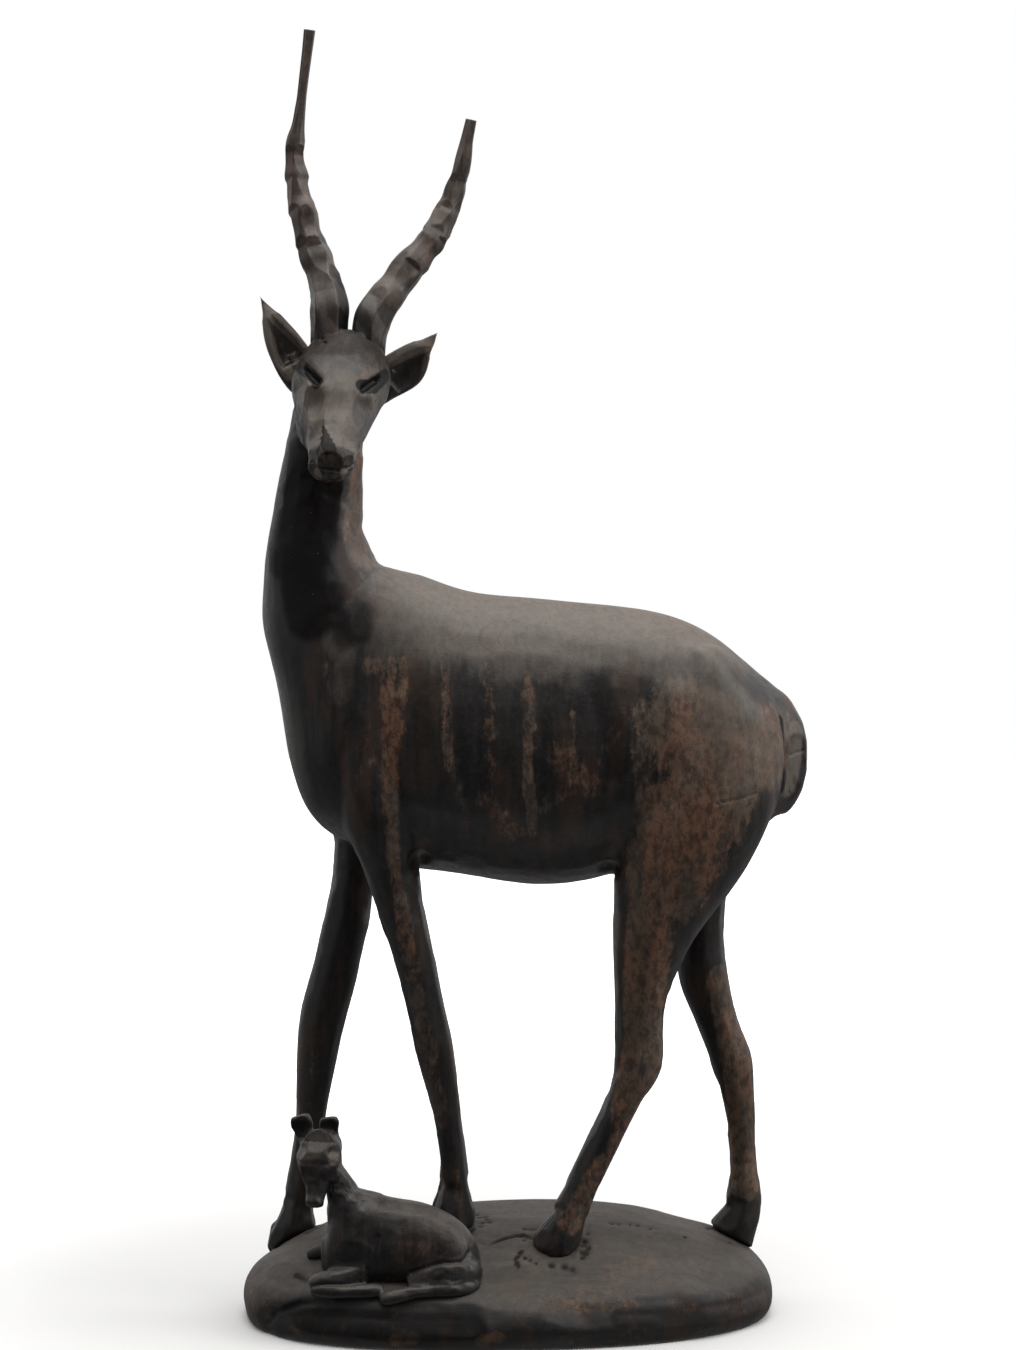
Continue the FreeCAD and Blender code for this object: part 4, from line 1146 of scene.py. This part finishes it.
def carve_fawn_head(carving):
    """Plain knife planes: a flat forehead that breaks at the brow, and a narrow muzzle."""
    side, down, out = FAWN_HEAD.axes
    # a shorter muzzle, then the planes
    _, along, forward = FAWN_HEAD.places(carving.points).T
    beyond = np.clip(along - 16, 0, None) * ((forward > -9) & (forward < 14))
    carving.points -= (0.20 * beyond)[:, None] * down
    carving.press(-0.5 * (carving.points[:, 2] > 78))
    carving.shave(FAWN_HEAD.at(0, 4, 9.4), out * 0.93 - down * 0.30, 13, 0.85, 0.3)
    carving.shave(FAWN_HEAD.at(0, 22, 6.6), out * 0.97 + down * 0.12, 12, 0.9, 0.3)
    for hand in (-1, 1):
        aim = side * hand * 0.90 + out * 0.26 + down * 0.30
        carving.shave(FAWN_HEAD.at(hand * 8.0, 22, 1), aim, 14, 0.9, 0.4)
        aim = side * hand * 0.62 + out * 0.62 - down * 0.4
        carving.shave(FAWN_HEAD.at(hand * 10.0, 8.5, 5.2), aim, 6.5, 0.8, 0.4)
        eye = FAWN_HEAD.on_half([(3.8, 15.0, 8.0), (7.4, 13.2, 7.0), (10.6, 11.0, 4.4)], hand)
        carving.groove(eye, 4.0, 1.0, 1.2)
    along = FAWN_HEAD.places(carving.points)[:, 1]
    x, y, z = carving.now()
    carving.flats((along > -6) & (y < -36) & (z > 78), 5.0, 8, 0.22)
    # a little hollow in each blunt ear
    carving.scoop((-115.2, -40.5, 117), (4.4, 5, 7.5), 1.5, 0.6)
    carving.scoop((-99.2, -40.5, 116.5), (4.0, 5, 7.5), 1.5, 0.6)


# ---- The mound -----------------------------------------------------------------------------

MOUND_CRACKS = [
    ([(-17, -26, 49), (-11, -29, 48), (-5, -25, 49), (2.3, -21.6, 50.3)], 3.4, 1.1),
    ([(2, -22, 50), (9, -20, 50.5), (14, -24, 50)], 3.6, 1.2),
    ([(-20, -14, 51), (-24, -24, 49.5), (-19, -30, 47)], 3.6, 1.2),
    ([(8, -34, 45), (4, -39, 42), (6, -44, 39)], 3.0, 0.8),
    ([(40, -20, 50), (46, -28, 46), (42, -36, 42)], 3.4, 0.9),
    ([(-108, 12, 47), (-118, 6, 44), (-130, 8, 39)], 3.4, 1.0),
    ([(112, 12, 47), (118, 6, 44.5), (128, 6, 41)], 3.6, 1.1),
    ([(-104, -52, 30), (-112, -46, 32), (-120, -38, 33)], 4.0, 1.0),
    ([(-136.9, -44.2, 5.9), (-130.6, -50.4, 15.4), (-116.2, -55, 22.1), (-100, -61, 24)], 5.0, 1.2),
]
MOUND_PITS = [
    (60, -4.3, 52.8), (64, -5, 52.5), (70.5, -3.7, 52), (75, -4, 51.5), (81.9, -5.6, 50.2),
    (101.9, -8.7, 45.9), (6.8, -34.7, 44.4), (9.6, -38.1, 42.6),
]
MOUND_BARE = [
    ([(60, -43, 36), (76, -33, 40)], 14, 0.55),
    ([(-62, -73, 6), (-52, -73, 8)], 7, 0.8),
    ([(-16, -74, 6), (-4, -74, 9)], 6, 0.8),
    ([(-120, -60, 10), (-90, -70, 10)], 14, 0.40),
    ([(-150, -20, 20), (-146, -36, 14)], 16, 0.45),
    ([(20, -62, 22), (50, -58, 26), (70, -56, 24)], 12, 0.50),
    ([(96, -52, 20), (130, -38, 16)], 12, 0.42),
]
# Dark strokes: the first two run in the scooped ledges under the fawn and along the right, as painted
# shade; the others darken the front slope.
MOUND_SOOT_AND_PAINTED_SHADE = [
    ([(-118, -62, 15), (-60, -72, 14), (-20, -73, 14)], 13, 0.7),
    ([(62, -66, 17), (98, -59, 16), (132, -40, 16)], 9, 0.6),
    ([(-132, -28, 34), (-120, -40, 32)], 12, 0.5),
    ([(-8, -50, 36), (6, -48, 38)], 9, 0.5),
]


def carve_mound():
    piece = rough_out("mound", "mound_carving", 1.7)
    carving = Carving(piece)
    carving.soften(2)
    x, y, z = carving.now()
    # uneven hand-cut outline and swells
    wave = (1.0 * np.sin(x * 0.055 + 0.6) + 0.7 * np.sin(x * 0.13 + y * 0.05 + 2.0)
            + 0.5 * np.sin(y * 0.16 + x * 0.03))
    carving.press(-0.5 * wave * ease(1.5, 8, z) * ease(54, 44, z))
    # the scooped ledge along the near side, under the fawn
    ledge = [(-136, -47, 8), (-128, -54, 13), (-112, -60, 17), (-90, -66, 18),
             (-62, -70, 17), (-38, -70, 17), (-22, -70, 17)]
    carving.groove(ledge, 20, 2.6, 0.9)
    right = [(28, -67, 20), (62, -64, 18), (98, -57, 17), (131, -38, 17), (146, -18, 17)]
    carving.groove(right, 20, 1.5, 1.3)
    # the far side drops away a little towards the rear and swells in the middle
    carving.scoop((112, 26, 48), (50, 44, 22), 2.0)
    carving.scoop((140, 10, 34), (30, 50, 24), 2.2)
    carving.scoop((20, 36, 48), (90, 44, 22), -1.8)
    carving.flats(z > 3, 15, 20, 0.24)
    for path, wide, depth in MOUND_CRACKS:
        carving.groove(path, wide, depth)
    for place in MOUND_PITS:
        carving.scoop(place, (2.6, 1.6, 3), 1.2, 1)
    # filler crumbling away round each hoof
    crumbs = np.zeros(carving.count)
    for hoof_x, hoof_y, _ in HOOF_MIDDLES:
        for _ in range(16):
            angle = CHANCE.uniform(0, 2 * math.pi)
            gap = CHANCE.uniform(15, 21)
            pit_x = hoof_x + gap * math.cos(angle)
            pit_y = hoof_y + gap * math.sin(angle)
            off = np.hypot(x - pit_x, y - pit_y)
            wide = CHANCE.uniform(2.0, 4.2)
            crumbs = np.maximum(crumbs, np.clip(1.2 - off / wide, 0, 1) * (z > 25))
    carving.press(1.0 * crumbs)
    carving.soften(1, share=0.3)
    stain_and_shade_mound(carving, crumbs)
    return piece


def stain_and_shade_mound(carving, crumbs):
    upward = carving.normals()[:, 2]
    x, y, z = carving.now()
    hooves = np.min([np.hypot(x - hoof[0], y - hoof[1]) for hoof in HOOF_MIDDLES], axis=0)
    bare = 0.16 + 0.16 * ease(0.2, 0.9, np.sin(x * 0.09 + 1.0) * np.sin(y * 0.12 + x * 0.04))
    # dust and a painted sheen on faces that turn up
    coat = Coat(carving, bare, 0.85 * crumbs, 0.62 * ease(0.35, 0.9, upward) + 0.10)
    coat.lay(ease(20, 14, hooves) * (z > 30), soot=0.5)
    coat.brush("bare", MOUND_BARE)
    coat.brush("soot", MOUND_SOOT_AND_PAINTED_SHADE, 0.5)
    coat.brush("soot", [(path, wide * 0.8, 0.9) for path, wide, _ in MOUND_CRACKS])
    coat.brush("soot", [([place], 2.6, 1.0) for place in MOUND_PITS])
    coat.keep()


# ---- Stage, light and camera ---------------------------------------------------------------

SENSOR_HEIGHT = 24.0
LENS = 45.866667
CAMERA_TILT = 4.3


def lay_floor():
    """A white sheet that glows more and more away from the mound."""
    shape = bmesh.new()
    bmesh.ops.create_circle(shape, cap_ends=True, segments=96, radius=3.0)
    mesh = bpy.data.meshes.new("floor")
    shape.to_mesh(mesh)
    shape.free()
    floor = stand("floor", mesh)
    floor.visible_diffuse = False
    floor.visible_glossy = False
    paper = Finish("white_paper")
    paper.give("Base Color", (0.90, 0.90, 0.90))
    paper.give("Roughness", 0.9)
    paper.give("Specular IOR Level", 0.1)
    length = paper.add("VectorMath", {0: paper.place}, operation="LENGTH").outputs["Value"]
    paper.give("Emission Color", (1, 1, 1))
    paper.give("Emission Strength", paper.between(length, 0.22, 0.75))
    mesh.materials.append(paper.material)


def hang_softbox(name, place, aim, size, brightness, colour):
    """A flat soft light of the given brightness at a place in metres, turned to a point."""
    data = bpy.data.lights.new(name, "AREA")
    data.shape = "RECTANGLE"
    data.size, data.size_y = size
    data.energy = brightness * math.pi * size[0] * size[1]
    data.color = colour
    light = stand(name, data)
    light.location = place
    light.rotation_euler = (Vector(aim) - Vector(place)).to_track_quat("-Z", "Y").to_euler()


def light_room():
    """White to the eye; as light, bright overhead and behind, dim in front and below."""
    world = bpy.data.worlds.new("room")
    bpy.context.scene.world = world
    room = Nodes(world)
    place = room.add("TexCoord").outputs["Generated"]
    across, inward, upward = room.add("SeparateXYZ", {0: place}).outputs
    light = room.between(inward, 0.0, 0.8, 0.05, 0.75)
    light = room.plus(light, room.between(upward, 0.1, 0.9, 0.0, 0.40))
    light = room.plus(light, room.between(across, 0.2, 0.9, 0.0, 0.46))
    light = room.plus(light, room.between(across, -0.2, -0.9, 0.0, 0.34))
    light = room.times(light, room.between(upward, -0.35, 0.0, 0.25, 1.0))
    light = room.plus(light, room.between(upward, -0.35, -0.95, 0.0, 0.40))
    lit = room.add("Background", {"Strength": light}).outputs[0]
    seen = room.add("Background", {"Color": (1, 1, 1), "Strength": 1.0}).outputs[0]
    by_eye = room.add("LightPath").outputs["Is Camera Ray"]
    either = room.add("MixShader", {0: by_eye, 1: lit, 2: seen}).outputs[0]
    room.add("OutputWorld", {"Surface": either})
    hang_softbox("overhead", (0.08, -0.12, 1.95), (0.03, 0.0, 0.4), (1.6, 1.5), 3.4,
                 (1.0, 0.985, 0.965))
    hang_softbox("from_the_right", (1.35, -0.25, 1.05), (0.05, 0.0, 0.35), (0.7, 0.8), 4.2,
                 (1.0, 0.975, 0.94))


def set_camera():
    data = bpy.data.cameras.new("camera")
    data.sensor_fit = "VERTICAL"
    data.sensor_height = SENSOR_HEIGHT
    data.lens = LENS
    camera = stand("camera", data)
    camera.location = (0.0, -1.466, 0.480)
    camera.rotation_euler = (math.radians(90 - CAMERA_TILT), 0, 0)
    bpy.context.scene.camera = camera
    bpy.context.scene.view_settings.view_transform = "Standard"


# ---- Making --------------------------------------------------------------------------------


def main():
    set_camera()
    light_room()
    lay_floor()
    body_finish = stained_wood("antelope_wood_finish")
    horn_finish = stained_wood("horn_wood_finish", bare=(0.150, 0.098, 0.070),
                               haze=(0.190, 0.150, 0.122), sheen=0.38)
    ear_finish = stained_wood("ear_wood_finish")
    fawn_finish = stained_wood("fawn_wood_finish", bare=(0.120, 0.074, 0.050))
    mound_finish = stained_wood("mound_wood_finish", grain=(0.12, 1, 1),
                                bare=(0.22, 0.138, 0.088), haze=(0.138, 0.116, 0.096), sheen=0.52)
    finish_piece(carve_antelope(), "antelope", body_finish)
    for side in ("left", "right"):
        finish_piece(carve_horn(side), f"horn_{side}", horn_finish)
    for node in ("ear_left", "ear_right"):
        finish_piece(carve_ear(node), node, ear_finish)
    finish_piece(carve_fawn(), "fawn", fawn_finish)
    finish_piece(carve_mound(), "mound", mound_finish)
    plain = dowel_wood("dowel_wood_finish")
    for name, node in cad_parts.items():
        if "dowel" in name:
            for slot in node.material_slots:
                slot.material = plain
            if not node.material_slots:
                node.data.materials.append(plain)


main()
